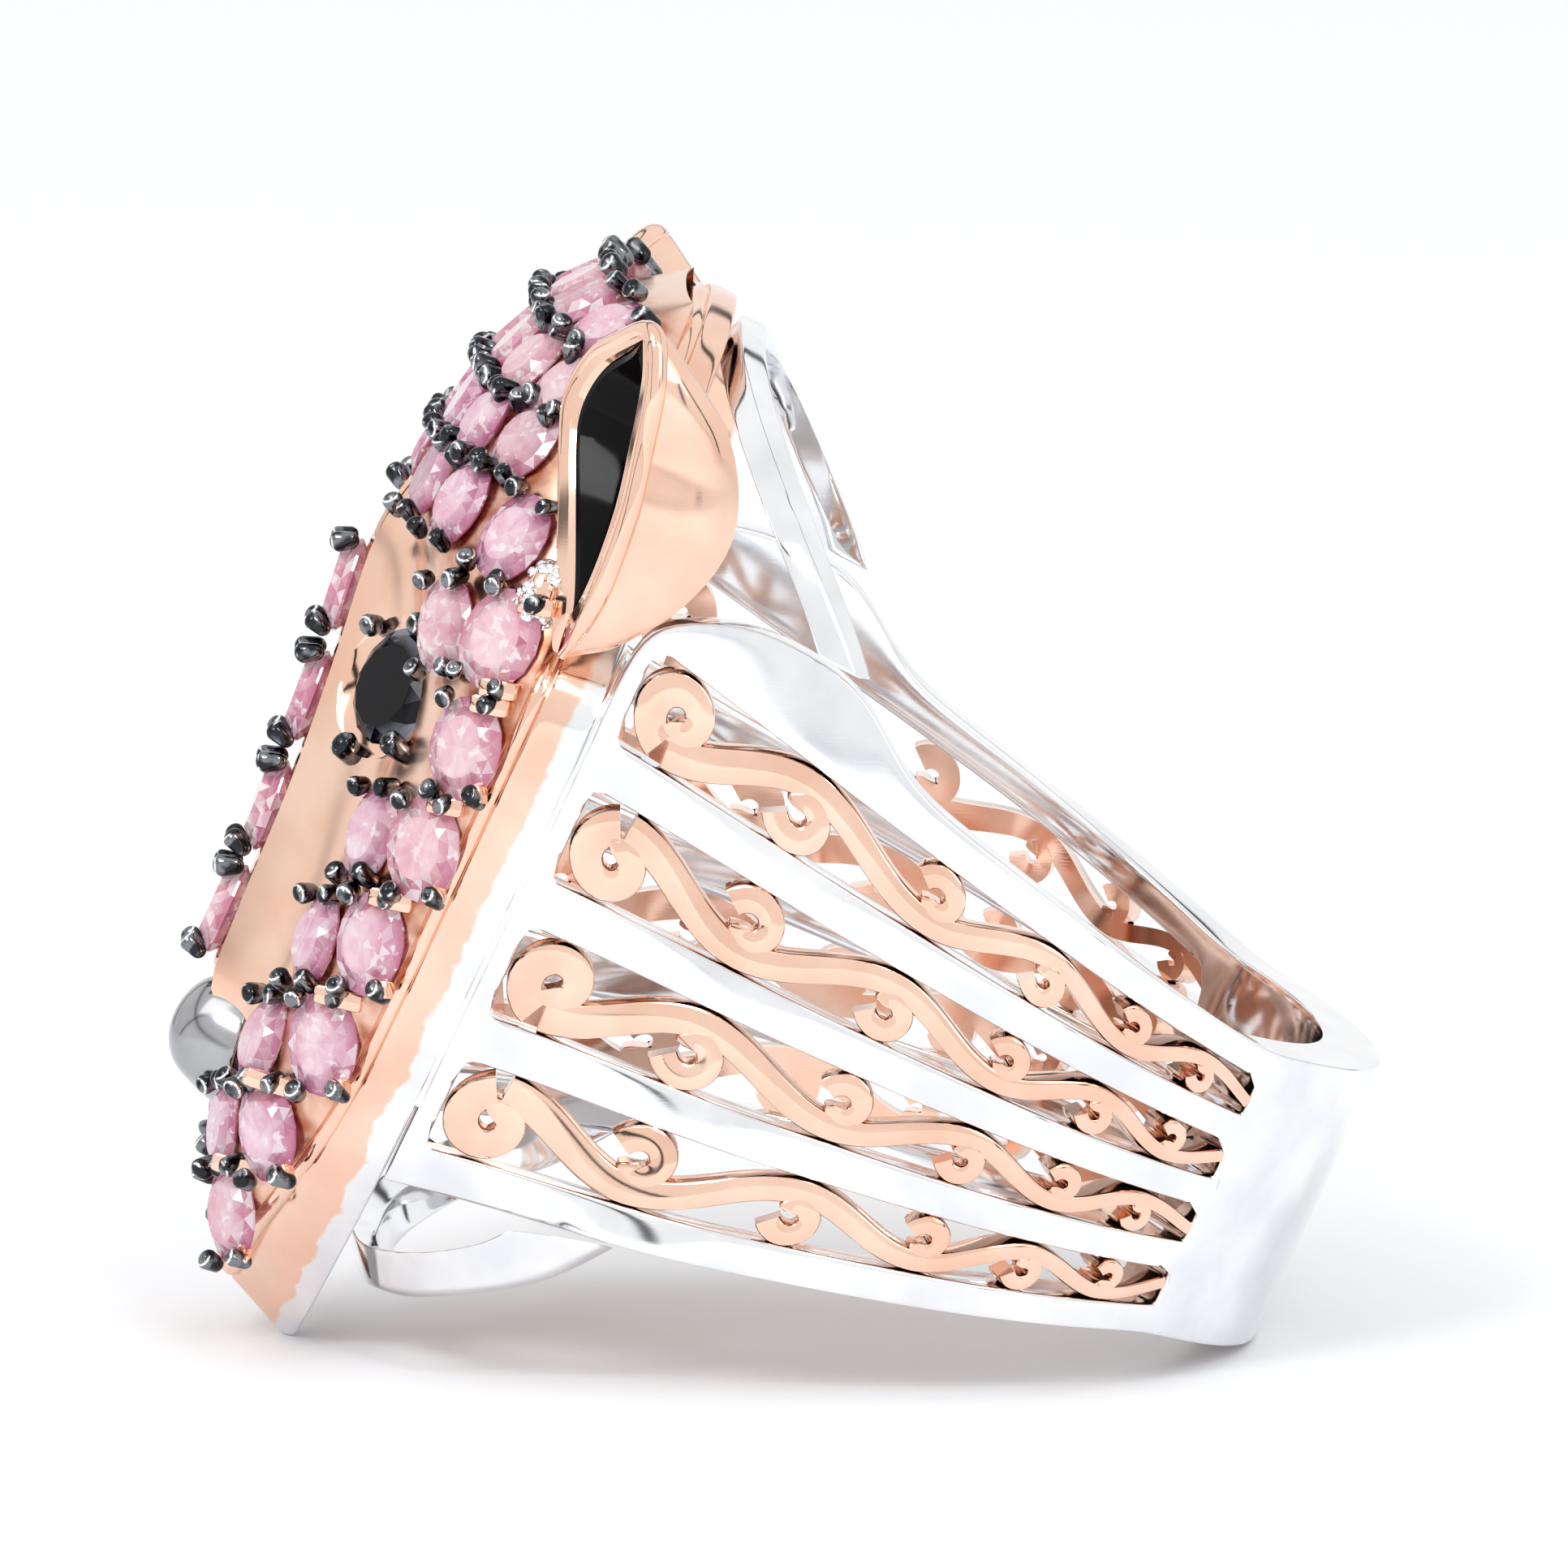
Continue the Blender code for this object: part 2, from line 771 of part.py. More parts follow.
def stone_on_face(name, s, up, length, width, turn, tip, finish):
    """Sets a stone on the face, tipped to the side, just clear of the highest metal under it."""
    place, normal, along, across = face_axes(s, up, turn)
    outer_way = across if across.x * s > 0 else -across
    tipped = (normal * math.cos(tip) + outer_way * math.sin(tip)).normalized()
    across = along.cross(tipped)
    normal = tipped
    highest = 0.0
    for k in range(16):
        angle = math.pi * k / 8
        for scale, height in ((0.5 * base_scale, 0.0), (base_scale, 0.0), (1.0, girdle_height)):
            spot = place + along * (0.5 * length * scale * math.cos(angle))
            spot += across * (0.5 * width * scale * math.sin(angle))
            metal = at(spot.x, face_height(spot.x, spot.z), spot.z)
            highest = max(highest, (metal - place).dot(normal) - height)
    base = place + normal * (highest + stone_gap)
    return oval_stone(name, base, normal, along, across, length, width, finish)


def build_face_stones(finish):
    for side, side_name in ((1, "right"), (-1, "left")):
        for k, (up, share) in enumerate(outer_row):
            name = f"stone_outer_{side_name}_{k + 1}"
            s = side * share * half_face(up)
            stone_on_face(name, s, up, 2.6, 2.05, side * -0.2, outer_tip, finish)
        for k, (up, share) in enumerate(inner_row):
            name = f"stone_inner_{side_name}_{k + 1}"
            s = side * share * half_face(up)
            stone_on_face(name, s, up, 2.5, 1.9, side * -0.3, inner_tip, finish)
        for k, (s, up) in enumerate(brow_row):
            name = f"stone_brow_{side_name}_{k + 1}"
            stone_on_face(name, side * s, up, 2.4, 1.9, side * -0.15, brow_tip, finish)
        for k, (s, up) in enumerate(crown_row):
            name = f"stone_crown_{side_name}_{k + 1}"
            stone_on_face(name, side * s, up, 2.2, 1.9, 0.0, brow_tip, finish)
    stone_on_face("stone_crown_middle", 0.0, 13.05, 2.2, 1.9, 0.0, 0.0, finish)


def ridge_height(up):
    return frame_front + ridge_rise(up)


def build_ridge(finish, stone_finish):
    """The raised bar down the muzzle, and the stones set along it."""
    low, high = ridge_top[0][0], ridge_top[-1][0]
    rows = 13
    spread = (-1.0, -0.5, 0.0, 0.5, 1.0)
    outside, inside = [], []
    for r in range(rows):
        up = low + (high - low) * r / (rows - 1)
        top = ridge_height(up)
        metal = max(face_height(x * ridge_half_base, up) for x in spread)
        foot = metal + stone_gap + 0.05
        outside.append(
            [
                at(-ridge_half_base, foot + ridge_side, up),
                at(-ridge_half_top, top - ridge_shoulder, up),
                at(0.0, top, up),
                at(ridge_half_top, top - ridge_shoulder, up),
                at(ridge_half_base, foot + ridge_side, up),
            ]
        )
        inside.append([at(x * ridge_half_base, foot, up) for x in spread])
    thick_sheet("muzzle_ridge", outside, inside, finish)
    for k, up in enumerate(muzzle_row):
        slope = (ridge_height(up + 0.1) - ridge_height(up - 0.1)) / 0.2
        along = Vector((0.0, -slope, 1.0)).normalized()
        across = Vector((1.0, 0.0, 0.0))
        normal = across.cross(along)
        base = at(0.0, ridge_height(up) + stone_gap + 0.03, up)
        name = f"stone_muzzle_{k + 1}"
        oval_stone(name, base, normal, along, across, 2.4, 1.5, stone_finish)


def build_nose(finish):
    """A smooth rounded nose at the foot of the muzzle ridge."""
    rows, columns = 9, 9
    tip = frame_front + nose_rise
    outside, inside = [], []
    for r in range(rows):
        top, under = [], []
        for c in range(columns):
            u = 2 * c / (columns - 1) - 1
            v = 2 * r / (rows - 1) - 1
            x = u * math.sqrt(1 - v * v / 2)
            y = v * math.sqrt(1 - u * u / 2)
            side, up = x * nose_half_side, nose_up + y * nose_half_up
            metal = face_height(side, up) + 0.15
            swell = math.sqrt(max(1 - (x * x + y * y), 0.0))
            lip = metal + nose_lip
            top.append(at(side, lip + (tip - lip) * swell, up))
            under.append(at(side * 0.97, metal, nose_up + y * nose_half_up * 0.97))
        outside.append(top)
        inside.append(under)
    return thick_sheet("nose", outside, inside, finish)


def build_ear(name, side, grow_in, wall, rim_drop, finish):
    """A cupped shell open towards the face. grow_in is how far inside the ear it lies."""
    sections = smooth_through(ear_sections, 2)
    low, high = ear_sections[0][0], ear_sections[-1][0]
    columns = 9

    def hull(inset):
        grid = []
        middle = (low + high) / 2
        half = (high - low) / 2
        for up, rim_s, inner_s, rim_rise, inner_rise, back_rise in sections:
            shrink = 1 - inset / (half * 1.15)
            new_up = middle + (up - middle) * shrink
            rim_n, inner_n = frame_front + rim_rise, frame_front + inner_rise
            centre = Vector(((rim_s + inner_s) / 2, (rim_n + inner_n) / 2, 0.0))
            chord = Vector(((rim_s - inner_s) / 2, (rim_n - inner_n) / 2, 0.0))
            depth = Vector((0.0, frame_front + back_rise - centre.y, 0.0))
            chord = chord * max(1 - inset / chord.length, 0.12)
            depth = depth * max(1 - inset / depth.length, 0.12)
            drop = Vector((0.0, -rim_drop * min(depth.length, 1.0), 0.0))
            row = []
            for c in range(columns):
                angle = math.pi * c / (columns - 1)
                p = centre + chord * math.cos(angle) + depth * math.sin(angle)
                p = p + drop * (1 - math.sin(angle))
                row.append(at(side * p.x, p.y, new_up))
            grid.append(row)
        return grid

    return thick_sheet(name, hull(grow_in), hull(grow_in + wall), finish)


def find_lean():
    """The forward lean that puts the chin's foot and the shank's back edge on one floor."""
    back_out = -outer_radius * math.cos(back_step / 2)
    foot = at(0.0, frame_back, frame_outline[0][1] + foot_cut)
    rise = -back_half_width - foot.z
    return math.atan2(rise, -foot.y - back_out), foot


clear_scene()
lean, foot_point = find_lean()
stand = bpy.data.objects.new("stand", None)
bpy.context.scene.collection.objects.link(stand)

silver = material("polished_silver", (0.86, 0.87, 0.88), 1.0, 0.12)
rose_gold = material("rose_gold", (0.93, 0.66, 0.52), 1.0, 0.14)
black_metal = material("black_rhodium", (0.10, 0.10, 0.11), 1.0, 0.18)
enamel = material("black_enamel", (0.01, 0.01, 0.01), 0.0, 0.08)
pink_stone = material("pink_stone", (0.78, 0.33, 0.55), 0.0, 0.05)
black_stone = material("black_stone", (0.01, 0.01, 0.012), 0.0, 0.04)

build_shank(silver)
build_frets(rose_gold)
build_frame(rose_gold)
build_arch("gallery_arch_ears", ear_arch, silver)
build_arch("gallery_arch_chin", chin_arch, silver)
build_face(rose_gold)
build_ridge(rose_gold, pink_stone)
build_nose(black_metal)
build_face_stones(pink_stone)
for ear_side, ear_name in ((1, "right"), (-1, "left")):
    stone_on_face(
        f"eye_{ear_name}", ear_side * 4.6, 2.75, 3.5, 2.7, ear_side * -0.35, eye_tip, black_stone
    )
    build_ear(f"ear_{ear_name}", ear_side, 0.0, ear_wall, 0.0, rose_gold)
    start = ear_wall + lining_gap
    build_ear(f"ear_lining_{ear_name}", ear_side, start, lining_wall, lining_rim_drop, enamel)

stand.rotation_euler = (-lean, 0.0, 0.0)
bpy.context.view_layer.update()
corners = [o.matrix_world @ v.co for o in stand.children for v in o.data.vertices]
lowest = Vector([min(c[i] for c in corners) for i in range(3)])
highest = Vector([max(c[i] for c in corners) for i in range(3)])
middle = (lowest + highest) / 2
stand.location = (-middle.x, -middle.y, -lowest.z)
bpy.context.view_layer.update()
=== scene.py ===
import json
import math
import random

import bpy
import numpy as np
from mathutils import Matrix, Vector


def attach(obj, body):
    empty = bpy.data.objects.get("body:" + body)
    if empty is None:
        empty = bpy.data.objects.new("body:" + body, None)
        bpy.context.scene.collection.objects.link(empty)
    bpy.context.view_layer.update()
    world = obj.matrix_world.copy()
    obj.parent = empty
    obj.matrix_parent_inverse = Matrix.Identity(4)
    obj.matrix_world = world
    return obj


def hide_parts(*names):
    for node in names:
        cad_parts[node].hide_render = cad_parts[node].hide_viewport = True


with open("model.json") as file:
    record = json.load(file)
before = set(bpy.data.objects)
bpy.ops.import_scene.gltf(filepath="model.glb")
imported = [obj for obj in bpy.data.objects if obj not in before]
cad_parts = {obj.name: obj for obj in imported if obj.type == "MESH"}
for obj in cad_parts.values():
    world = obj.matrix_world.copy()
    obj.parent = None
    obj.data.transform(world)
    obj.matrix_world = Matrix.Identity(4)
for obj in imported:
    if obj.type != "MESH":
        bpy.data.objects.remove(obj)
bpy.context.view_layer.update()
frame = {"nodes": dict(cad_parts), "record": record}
chance = random.Random(7)
mm = 0.001

# The ring's own directions: sideways, along the finger, and out of the finger to the face
mounts = {mount["name"]: mount for mount in frame["record"]["mounts"]}
ringCentre = Vector(mounts["finger_hole"]["pos_m"])
alongFinger = Vector(mounts["finger_hole"]["axis"]).normalized()
sideways = Vector((1, 0, 0))
outward = sideways.cross(alongFinger)
bothSides = ((1, "right"), (-1, "left"))


def ringPlace(side, out, up):
    return ringCentre + (sideways * side + outward * out + alongFinger * up) * mm


# camera, floor and light

view = {
    "azimuth": 90, "elevation": 8.6, "distance": 0.6, "halfWidth": 0.01932, "sensor": 36,
    "aimY": -3.86, "aimZ": 6.04,  # millimetres from the finger hole's centre
}
studio = {
    "floorSize": 6.0,
    "floorColor": (0.92, 0.935, 0.955),
    "floorRoughness": 0.55,
    "floorSpecular": 0.2,
    "skyStrength": 1.02,
    "flagDark": 0.03,
    "gaps": (  # each: the way it faces, its dark half width, and where it has faded out
        ((0.42, 0.5, 0.76), 0.02, 0.05),
        ((-0.62, 0.2, 0.76), 0.015, 0.045),
        ((0.5, -0.7, 0.51), 0.02, 0.05),
    ),
    "gapColor": (0.02, 0.02, 0.022),
}


def makeCamera():
    turn, lift = math.radians(view["azimuth"]), math.radians(view["elevation"])
    aim = ringCentre + Vector((0, view["aimY"], view["aimZ"])) * mm
    back = Vector((math.sin(turn) * math.cos(lift), -math.cos(turn) * math.cos(lift), math.sin(lift)))
    bpy.ops.object.camera_add(location=aim + back * view["distance"])
    camera = bpy.context.object
    camera.name = "ringCamera"
    camera.rotation_euler = (-back).to_track_quat("-Z", "Y").to_euler()
    camera.data.sensor_width = view["sensor"]
    camera.data.lens = view["sensor"] / 2 * view["distance"] / view["halfWidth"]
    bpy.context.scene.camera = camera


def newMaterial(name):
    made = bpy.data.materials.new(name)
    made.use_nodes = True
    return made, made.node_tree.nodes, made.node_tree.links, made.node_tree.nodes["Principled BSDF"]


def noiseNode(nodes, links, coordinates, scale, detail=2.0, roughness=0.5):
    noise = nodes.new("ShaderNodeTexNoise")
    noise.inputs["Scale"].default_value = scale
    noise.inputs["Detail"].default_value = detail
    noise.inputs["Roughness"].default_value = roughness
    links.new(coordinates, noise.inputs["Vector"])
    return noise.outputs["Fac"]


def rangeNode(nodes, links, value, low, high, toLow, toHigh):
    spread = nodes.new("ShaderNodeMapRange")
    spread.inputs["From Min"].default_value = low
    spread.inputs["From Max"].default_value = high
    spread.inputs["To Min"].default_value = toLow
    spread.inputs["To Max"].default_value = toHigh
    links.new(value, spread.inputs["Value"])
    return spread.outputs["Result"]


def mixColor(nodes, links, factor, first, second):
    blend = nodes.new("ShaderNodeMix")
    blend.data_type = "RGBA"
    links.new(factor, blend.inputs["Factor"])
    for socket, value in (("A", first), ("B", second)):
        if isinstance(value, tuple):
            blend.inputs[socket].default_value = (*value, 1)
        else:
            links.new(value, blend.inputs[socket])
    return blend.outputs["Result"]


def mathNode(nodes, links, operation, *values):
    work = nodes.new("ShaderNodeMath")
    work.operation = operation
    for socket, value in zip(work.inputs, values):
        if isinstance(value, (int, float)):
            socket.default_value = value
        else:
            links.new(value, socket)
    return work.outputs[0]


def attributeNode(nodes, name):
    found = nodes.new("ShaderNodeAttribute")
    found.attribute_name = name
    return found.outputs["Fac"]


def makeFloor():
    bpy.ops.mesh.primitive_plane_add(size=studio["floorSize"], location=(0, 0, 0))
    floor = bpy.context.object
    floor.name = "paleFloor"
    paint, _, _, shader = newMaterial("paleSweep")
    shader.inputs["Base Color"].default_value = (*studio["floorColor"], 1)
    shader.inputs["Roughness"].default_value = studio["floorRoughness"]
    shader.inputs["Specular IOR Level"].default_value = studio["floorSpecular"]
    floor.data.materials.append(paint)


def areaLight(name, panel):
    bpy.ops.object.light_add(type="AREA", location=panel["place"])
    light = bpy.context.object
    light.name = name
    light.data.shape = "SQUARE"
    light.data.size = panel["size"]
    light.data.energy = panel["power"]
    way = Vector((0, 0, panel["aimUp"])) - Vector(panel["place"])
    light.rotation_euler = way.to_track_quat("-Z", "Y").to_euler()


def makeSky():
    world = bpy.data.worlds.new("softTent")
    bpy.context.scene.world = world
    world.use_nodes = True
    nodes, links = world.node_tree.nodes, world.node_tree.links
    background = nodes["Background"]
    background.inputs["Strength"].default_value = studio["skyStrength"]
    where = nodes.new("ShaderNodeTexCoord")
    shade = None
    # narrow dark gaps between the tent's white panels, which polished metal shows as lines
    for facing, dark, soft in studio["gaps"]:
        across = nodes.new("ShaderNodeVectorMath")
        across.operation = "DOT_PRODUCT"
        across.inputs[1].default_value = Vector(facing).normalized()
        links.new(where.outputs["Generated"], across.inputs[0])
        away = mathNode(nodes, links, "ABSOLUTE", across.outputs["Value"])
        fade = rangeNode(nodes, links, away, dark, soft, studio["flagDark"], 1.0)
        shade = fade if shade is None else mathNode(nodes, links, "MULTIPLY", shade, fade)
    tint = mixColor(nodes, links, shade, studio["gapColor"], (1.0, 1.0, 1.0))
    links.new(tint, background.inputs["Color"])


makeCamera()
makeFloor()
makeSky()
lights = {
    "keyPanel": {"place": (0.25, -0.35, 0.5), "aimUp": 0.01, "size": 0.35, "power": 0.5},
    "fillPanel": {"place": (0.45, 0.35, 0.25), "aimUp": 0.01, "size": 0.3, "power": 0.36},
    "sparkLeft": {"place": (0.4, -0.24, 0.36), "aimUp": 0.012, "size": 0.15, "power": 0.85},
    "sparkRight": {"place": (0.46, 0.14, 0.4), "aimUp": 0.012, "size": 0.11, "power": 0.425},
}
for lightName, panel in lights.items():
    areaLight(lightName, panel)
print("camera, floor and light are ready")


# finishes

polish = {
    "hazeScale": 420, "hazeLow": 0.3, "hazeHigh": 0.75,
    "lineScale": 1500, "lineStretch": 14, "lineTurn": (0.5, 0.2, 0), "lineShare": 0.15,
    "rippleScale": 520, "bumpStrength": 0.25, "shadeLow": 0.35, "shadeHigh": 0.7,
}


def polishGroup():
    # fine polishing lines, cloudy haze and small casting dimples, shared by every metal
    group = bpy.data.node_groups.new("handPolish", "ShaderNodeTree")
    group.interface.new_socket("Vector", in_out="INPUT", socket_type="NodeSocketVector")
    for name in ("Smoothest", "Dullest"):
        group.interface.new_socket(name, in_out="INPUT", socket_type="NodeSocketFloat")
    for name in ("Roughness", "Height", "Haze"):
        group.interface.new_socket(name, in_out="OUTPUT", socket_type="NodeSocketFloat")
    nodes, links = group.nodes, group.links
    start, end = nodes.new("NodeGroupInput"), nodes.new("NodeGroupOutput")
    haze = noiseNode(nodes, links, start.outputs["Vector"], polish["hazeScale"], 3.0)
    stretch = nodes.new("ShaderNodeMapping")
    stretch.inputs["Scale"].default_value = (1, 1, polish["lineStretch"])
    stretch.inputs["Rotation"].default_value = polish["lineTurn"]
    links.new(start.outputs["Vector"], stretch.inputs["Vector"])
    lines = noiseNode(nodes, links, stretch.outputs["Vector"], polish["lineScale"])
    spread = nodes.new("ShaderNodeMapRange")
    links.new(haze, spread.inputs["Value"])
    spread.inputs["From Min"].default_value = polish["hazeLow"]
    spread.inputs["From Max"].default_value = polish["hazeHigh"]
    links.new(start.outputs["Smoothest"], spread.inputs["To Min"])
    links.new(start.outputs["Dullest"], spread.inputs["To Max"])
    ripples = noiseNode(nodes, links, start.outputs["Vector"], polish["rippleScale"], 1.0)
    height = mathNode(nodes, links, "MULTIPLY_ADD", lines, polish["lineShare"], ripples)
    links.new(spread.outputs["Result"], end.inputs["Roughness"])
    links.new(height, end.inputs["Height"])
    links.new(haze, end.inputs["Haze"])
    return group


handPolish = polishGroup()


def polishedMetal(name, smoothest, dullest, bumpDepth=0.000006):
    # a metal with the shared polish, its place on the piece, and the share of its painted shade, which is 0
    # where the haze is thick
    made, nodes, links, shader = newMaterial(name)
    shader.inputs["Metallic"].default_value = 1.0
    where = nodes.new("ShaderNodeTexCoord").outputs["Object"]
    worked = nodes.new("ShaderNodeGroup")
    worked.node_tree = handPolish
    worked.inputs["Smoothest"].default_value = smoothest
    worked.inputs["Dullest"].default_value = dullest
    links.new(where, worked.inputs["Vector"])
    bump = nodes.new("ShaderNodeBump")
    bump.inputs["Strength"].default_value = polish["bumpStrength"]
    bump.inputs["Distance"].default_value = bumpDepth
    links.new(worked.outputs["Height"], bump.inputs["Height"])
    links.new(bump.outputs["Normal"], shader.inputs["Normal"])
    links.new(worked.outputs["Roughness"], shader.inputs["Roughness"])
    paintedShadeMask = rangeNode(nodes, links, worked.outputs["Haze"], polish["shadeLow"], polish["shadeHigh"], 1.0, 0.0)
    return made, where, paintedShadeMask


def paintMetal(made, color):
    made.node_tree.links.new(color, made.node_tree.nodes["Principled BSDF"].inputs["Base Color"])
    return made


# each Shade colour is a painted shade: the metal takes it in cloudy patches that stand for dark reflections
# in polished metal. Copper is the painted shade in the seats round the stones
metals = {
    "silver": (0.94, 0.945, 0.95),
    "silverShade": (0.78, 0.79, 0.82),
    "roseGold": (0.94, 0.665, 0.53),
    "roseGoldShade": (0.86, 0.54, 0.405),
    "copper": (0.42, 0.125, 0.06),
    "gunmetal": (0.22, 0.23, 0.245),
    "gunmetalShade": (0.034, 0.036, 0.04),
    "nose": (0.50, 0.50, 0.515),
    "noseShade": (0.33, 0.33, 0.345),
}


def metalFinish(name, color, smoothest, dullest):
    made, _, paintedShadeMask = polishedMetal(name, smoothest, dullest)
    return paintMetal(made, withPaintedShade(made, paintedShadeMask, color))


# the metal's own colour, turning to its painted shade in patches
def withPaintedShade(made, paintedShadeMask, color):
    nodes, links = made.node_tree.nodes, made.node_tree.links
    return mixColor(nodes, links, paintedShadeMask, metals[color], metals[color + "Shade"])


def ringDistance(nodes, links, where, way):
    # millimetres from the finger hole's centre one way, read from the place itself
    offset = nodes.new("ShaderNodeVectorMath")
    offset.operation = "SUBTRACT"
    offset.inputs[1].default_value = ringCentre
    links.new(where, offset.inputs[0])
    along = nodes.new("ShaderNodeVectorMath")
    along.operation = "DOT_PRODUCT"
    along.inputs[1].default_value = way / mm
    links.new(offset.outputs["Vector"], along.inputs[0])
    return along.outputs["Value"]


def platedFrameFinish():
    # rose-gold plate in front and silver behind, with the ragged edge that masking lacquer leaves
    edge = {
        "place": 11.95, "ragged": 0.9, "soft": 0.05, "scale": 900,
        "crownStart": 9.0, "crownFull": 12.0, "crownBack": 1.3,
    }
    made, where, paintedShadeMask = polishedMetal("platedFrame", 0.06, 0.15, 0.000005)
    nodes, links = made.node_tree.nodes, made.node_tree.links
    ragged = noiseNode(nodes, links, where, edge["scale"], 3.0, 0.6)
    up = ringDistance(nodes, links, where, alongFinger)
    crown = rangeNode(nodes, links, up, edge["crownStart"], edge["crownFull"], 0.0, edge["crownBack"])
    out = mathNode(nodes, links, "ADD", ringDistance(nodes, links, where, outward), crown)
    wander = mathNode(nodes, links, "MULTIPLY_ADD", ragged, edge["ragged"], out)
    middle = edge["place"] + edge["ragged"] / 2
    plate = rangeNode(nodes, links, wander, middle - edge["soft"], middle + edge["soft"], 0.0, 1.0)
    silver, rose = withPaintedShade(made, paintedShadeMask, "silver"), withPaintedShade(made, paintedShadeMask, "roseGold")
    return paintMetal(made, mixColor(nodes, links, plate, silver, rose))


def faceFinish():
    # rose gold with painted shade that deepens to copper in the seats between the stones
    shadeBreakup = {"scale": 1400, "low": 0.35, "high": 0.62, "least": 0.25}
    made, where, paintedShadeMask = polishedMetal("faceGold", 0.2, 0.3)
    nodes, links = made.node_tree.nodes, made.node_tree.links
    cloudy = noiseNode(nodes, links, where, shadeBreakup["scale"])
    uneven = rangeNode(nodes, links, cloudy, shadeBreakup["low"], shadeBreakup["high"], shadeBreakup["least"], 1.0)
    # painted shade: copper near each stone, broken up by the cloud
    amount = mathNode(nodes, links, "MULTIPLY", attributeNode(nodes, "seat"), uneven)
    rose = withPaintedShade(made, paintedShadeMask, "roseGold")
    return paintMetal(made, mixColor(nodes, links, amount, rose, metals["copper"]))


def pinkStoneFinish():
    # cloudy natural stone, each stone its own tone, with painted shade deepening towards the girdle and
    # painted light and dark facet reflections, also across the table
    tone = {
        "pale": (0.97, 0.78, 0.85),
        "body": (0.80, 0.38, 0.52),
        "deep": (0.55, 0.11, 0.26),
        "peach": (0.93, 0.52, 0.44),
        "frost": (1.0, 0.93, 0.95),
        "lit": (1.0, 0.90, 0.95),
        "cloudScale": 1100,
        "veilScale": 2600,
        "dimmest": 0.62,
        "brightest": 0.85,
    }
    made, nodes, links, shader = newMaterial("pinkStone")
    shader.inputs["IOR"].default_value = 1.76
    shader.inputs["Transmission Weight"].default_value = 0.35
    shader.inputs["Roughness"].default_value = 0.03
    where = nodes.new("ShaderNodeTexCoord").outputs["Object"]
    facet = attributeNode(nodes, "facet")
    cloud = noiseNode(nodes, links, where, tone["cloudScale"], 3.0, 0.6)
    veil = noiseNode(nodes, links, where, tone["veilScale"], 2.0, 0.7)
    cloudy = rangeNode(nodes, links, cloud, 0.3, 0.7, 0.0, 1.0)
    color = mixColor(nodes, links, cloudy, tone["pale"], tone["body"])
    layers = (  # what drives each, its range, how much it adds at each end, and its colour
        # painted shade towards the girdle
        (attributeNode(nodes, "rim"), 0.5, 1.02, 0.0, 0.95, tone["deep"]),
        (attributeNode(nodes, "tone"), 0.3, 1.0, 0.0, 0.35, tone["peach"]),
        (veil, 0.58, 0.64, 0.0, 0.8, tone["frost"]),
        # painted dark and light reflections, facet by facet
        (facet, 0.0, 0.4, tone["dimmest"], 0.0, tone["deep"]),
        (facet, 0.7, 1.0, 0.0, tone["brightest"], tone["lit"]),
    )
    for driver, low, high, first, last, layerColor in layers:
        share = rangeNode(nodes, links, driver, low, high, first, last)
        color = mixColor(nodes, links, share, color, layerColor)
    links.new(color, shader.inputs["Base Color"])
    return made


def clawFinish():
    # black plate with painted light and dark reflections in patches, and a painted highlight of bright metal
    # in places round each bead's shoulder
    glintPaint = {"patchScale": 2600, "thin": (0.46, 0.58), "through": (0.42, 0.5), "ring": (0.45, 0.75)}
    made, where, _ = polishedMetal("blackRhodium", 0.04, 0.1)
    nodes, links = made.node_tree.nodes, made.node_tree.links
    patch = noiseNode(nodes, links, where, glintPaint["patchScale"], 1.0)
    thin = rangeNode(nodes, links, patch, *glintPaint["thin"], 0.0, 1.0)
    # painted reflections: the plate in light and dark patches
    plate = mixColor(nodes, links, thin, metals["gunmetalShade"], metals["gunmetal"])
    # painted highlight: bright silver in a broken band round each bead's shoulder
    ring = rangeNode(nodes, links, attributeNode(nodes, "tip"), *glintPaint["ring"], 0.0, 1.0)
    through = rangeNode(nodes, links, patch, *glintPaint["through"], 0.0, 1.0)
    bare = mathNode(nodes, links, "MULTIPLY", ring, through)
    return paintMetal(made, mixColor(nodes, links, bare, plate, metals["silver"]))


black = {
    "cloudScale": 600, "deeper": 0.4, "specular": 0.12, "clean": 0.6, "greasy": 1.5,
    "rim": (0.6, 0.85), "facet": (0.35, 0.75), "edge": (0.19, 0.2, 0.24),
}


def blackFinish(name, color, roughness, ior):
    made, nodes, links, shader = newMaterial(name)
    shader.inputs["IOR"].default_value = ior
    shader.inputs["Specular IOR Level"].default_value = black["specular"]
    where = nodes.new("ShaderNodeTexCoord").outputs["Object"]
    cloud = noiseNode(nodes, links, where, black["cloudScale"])
    deeper = tuple(black["deeper"] * part for part in color)
    base = mixColor(nodes, links, cloud, color, deeper)
    # the outer facets of cut stones take the edge colour as a painted grey reflection; only cut stones carry
    # these two attributes, so enamel stays black to its edge
    rim = rangeNode(nodes, links, attributeNode(nodes, "rim"), *black["rim"], 0.0, 1.0)
    facet = rangeNode(nodes, links, attributeNode(nodes, "facet"), *black["facet"], 0.0, 1.0)
    pale = mathNode(nodes, links, "MULTIPLY", rim, facet)
    links.new(mixColor(nodes, links, pale, base, black["edge"]), shader.inputs["Base Color"])
    dull = rangeNode(nodes, links, cloud, 0.3, 0.7, roughness * black["clean"], roughness * black["greasy"])
    links.new(dull, shader.inputs["Roughness"])
    return made


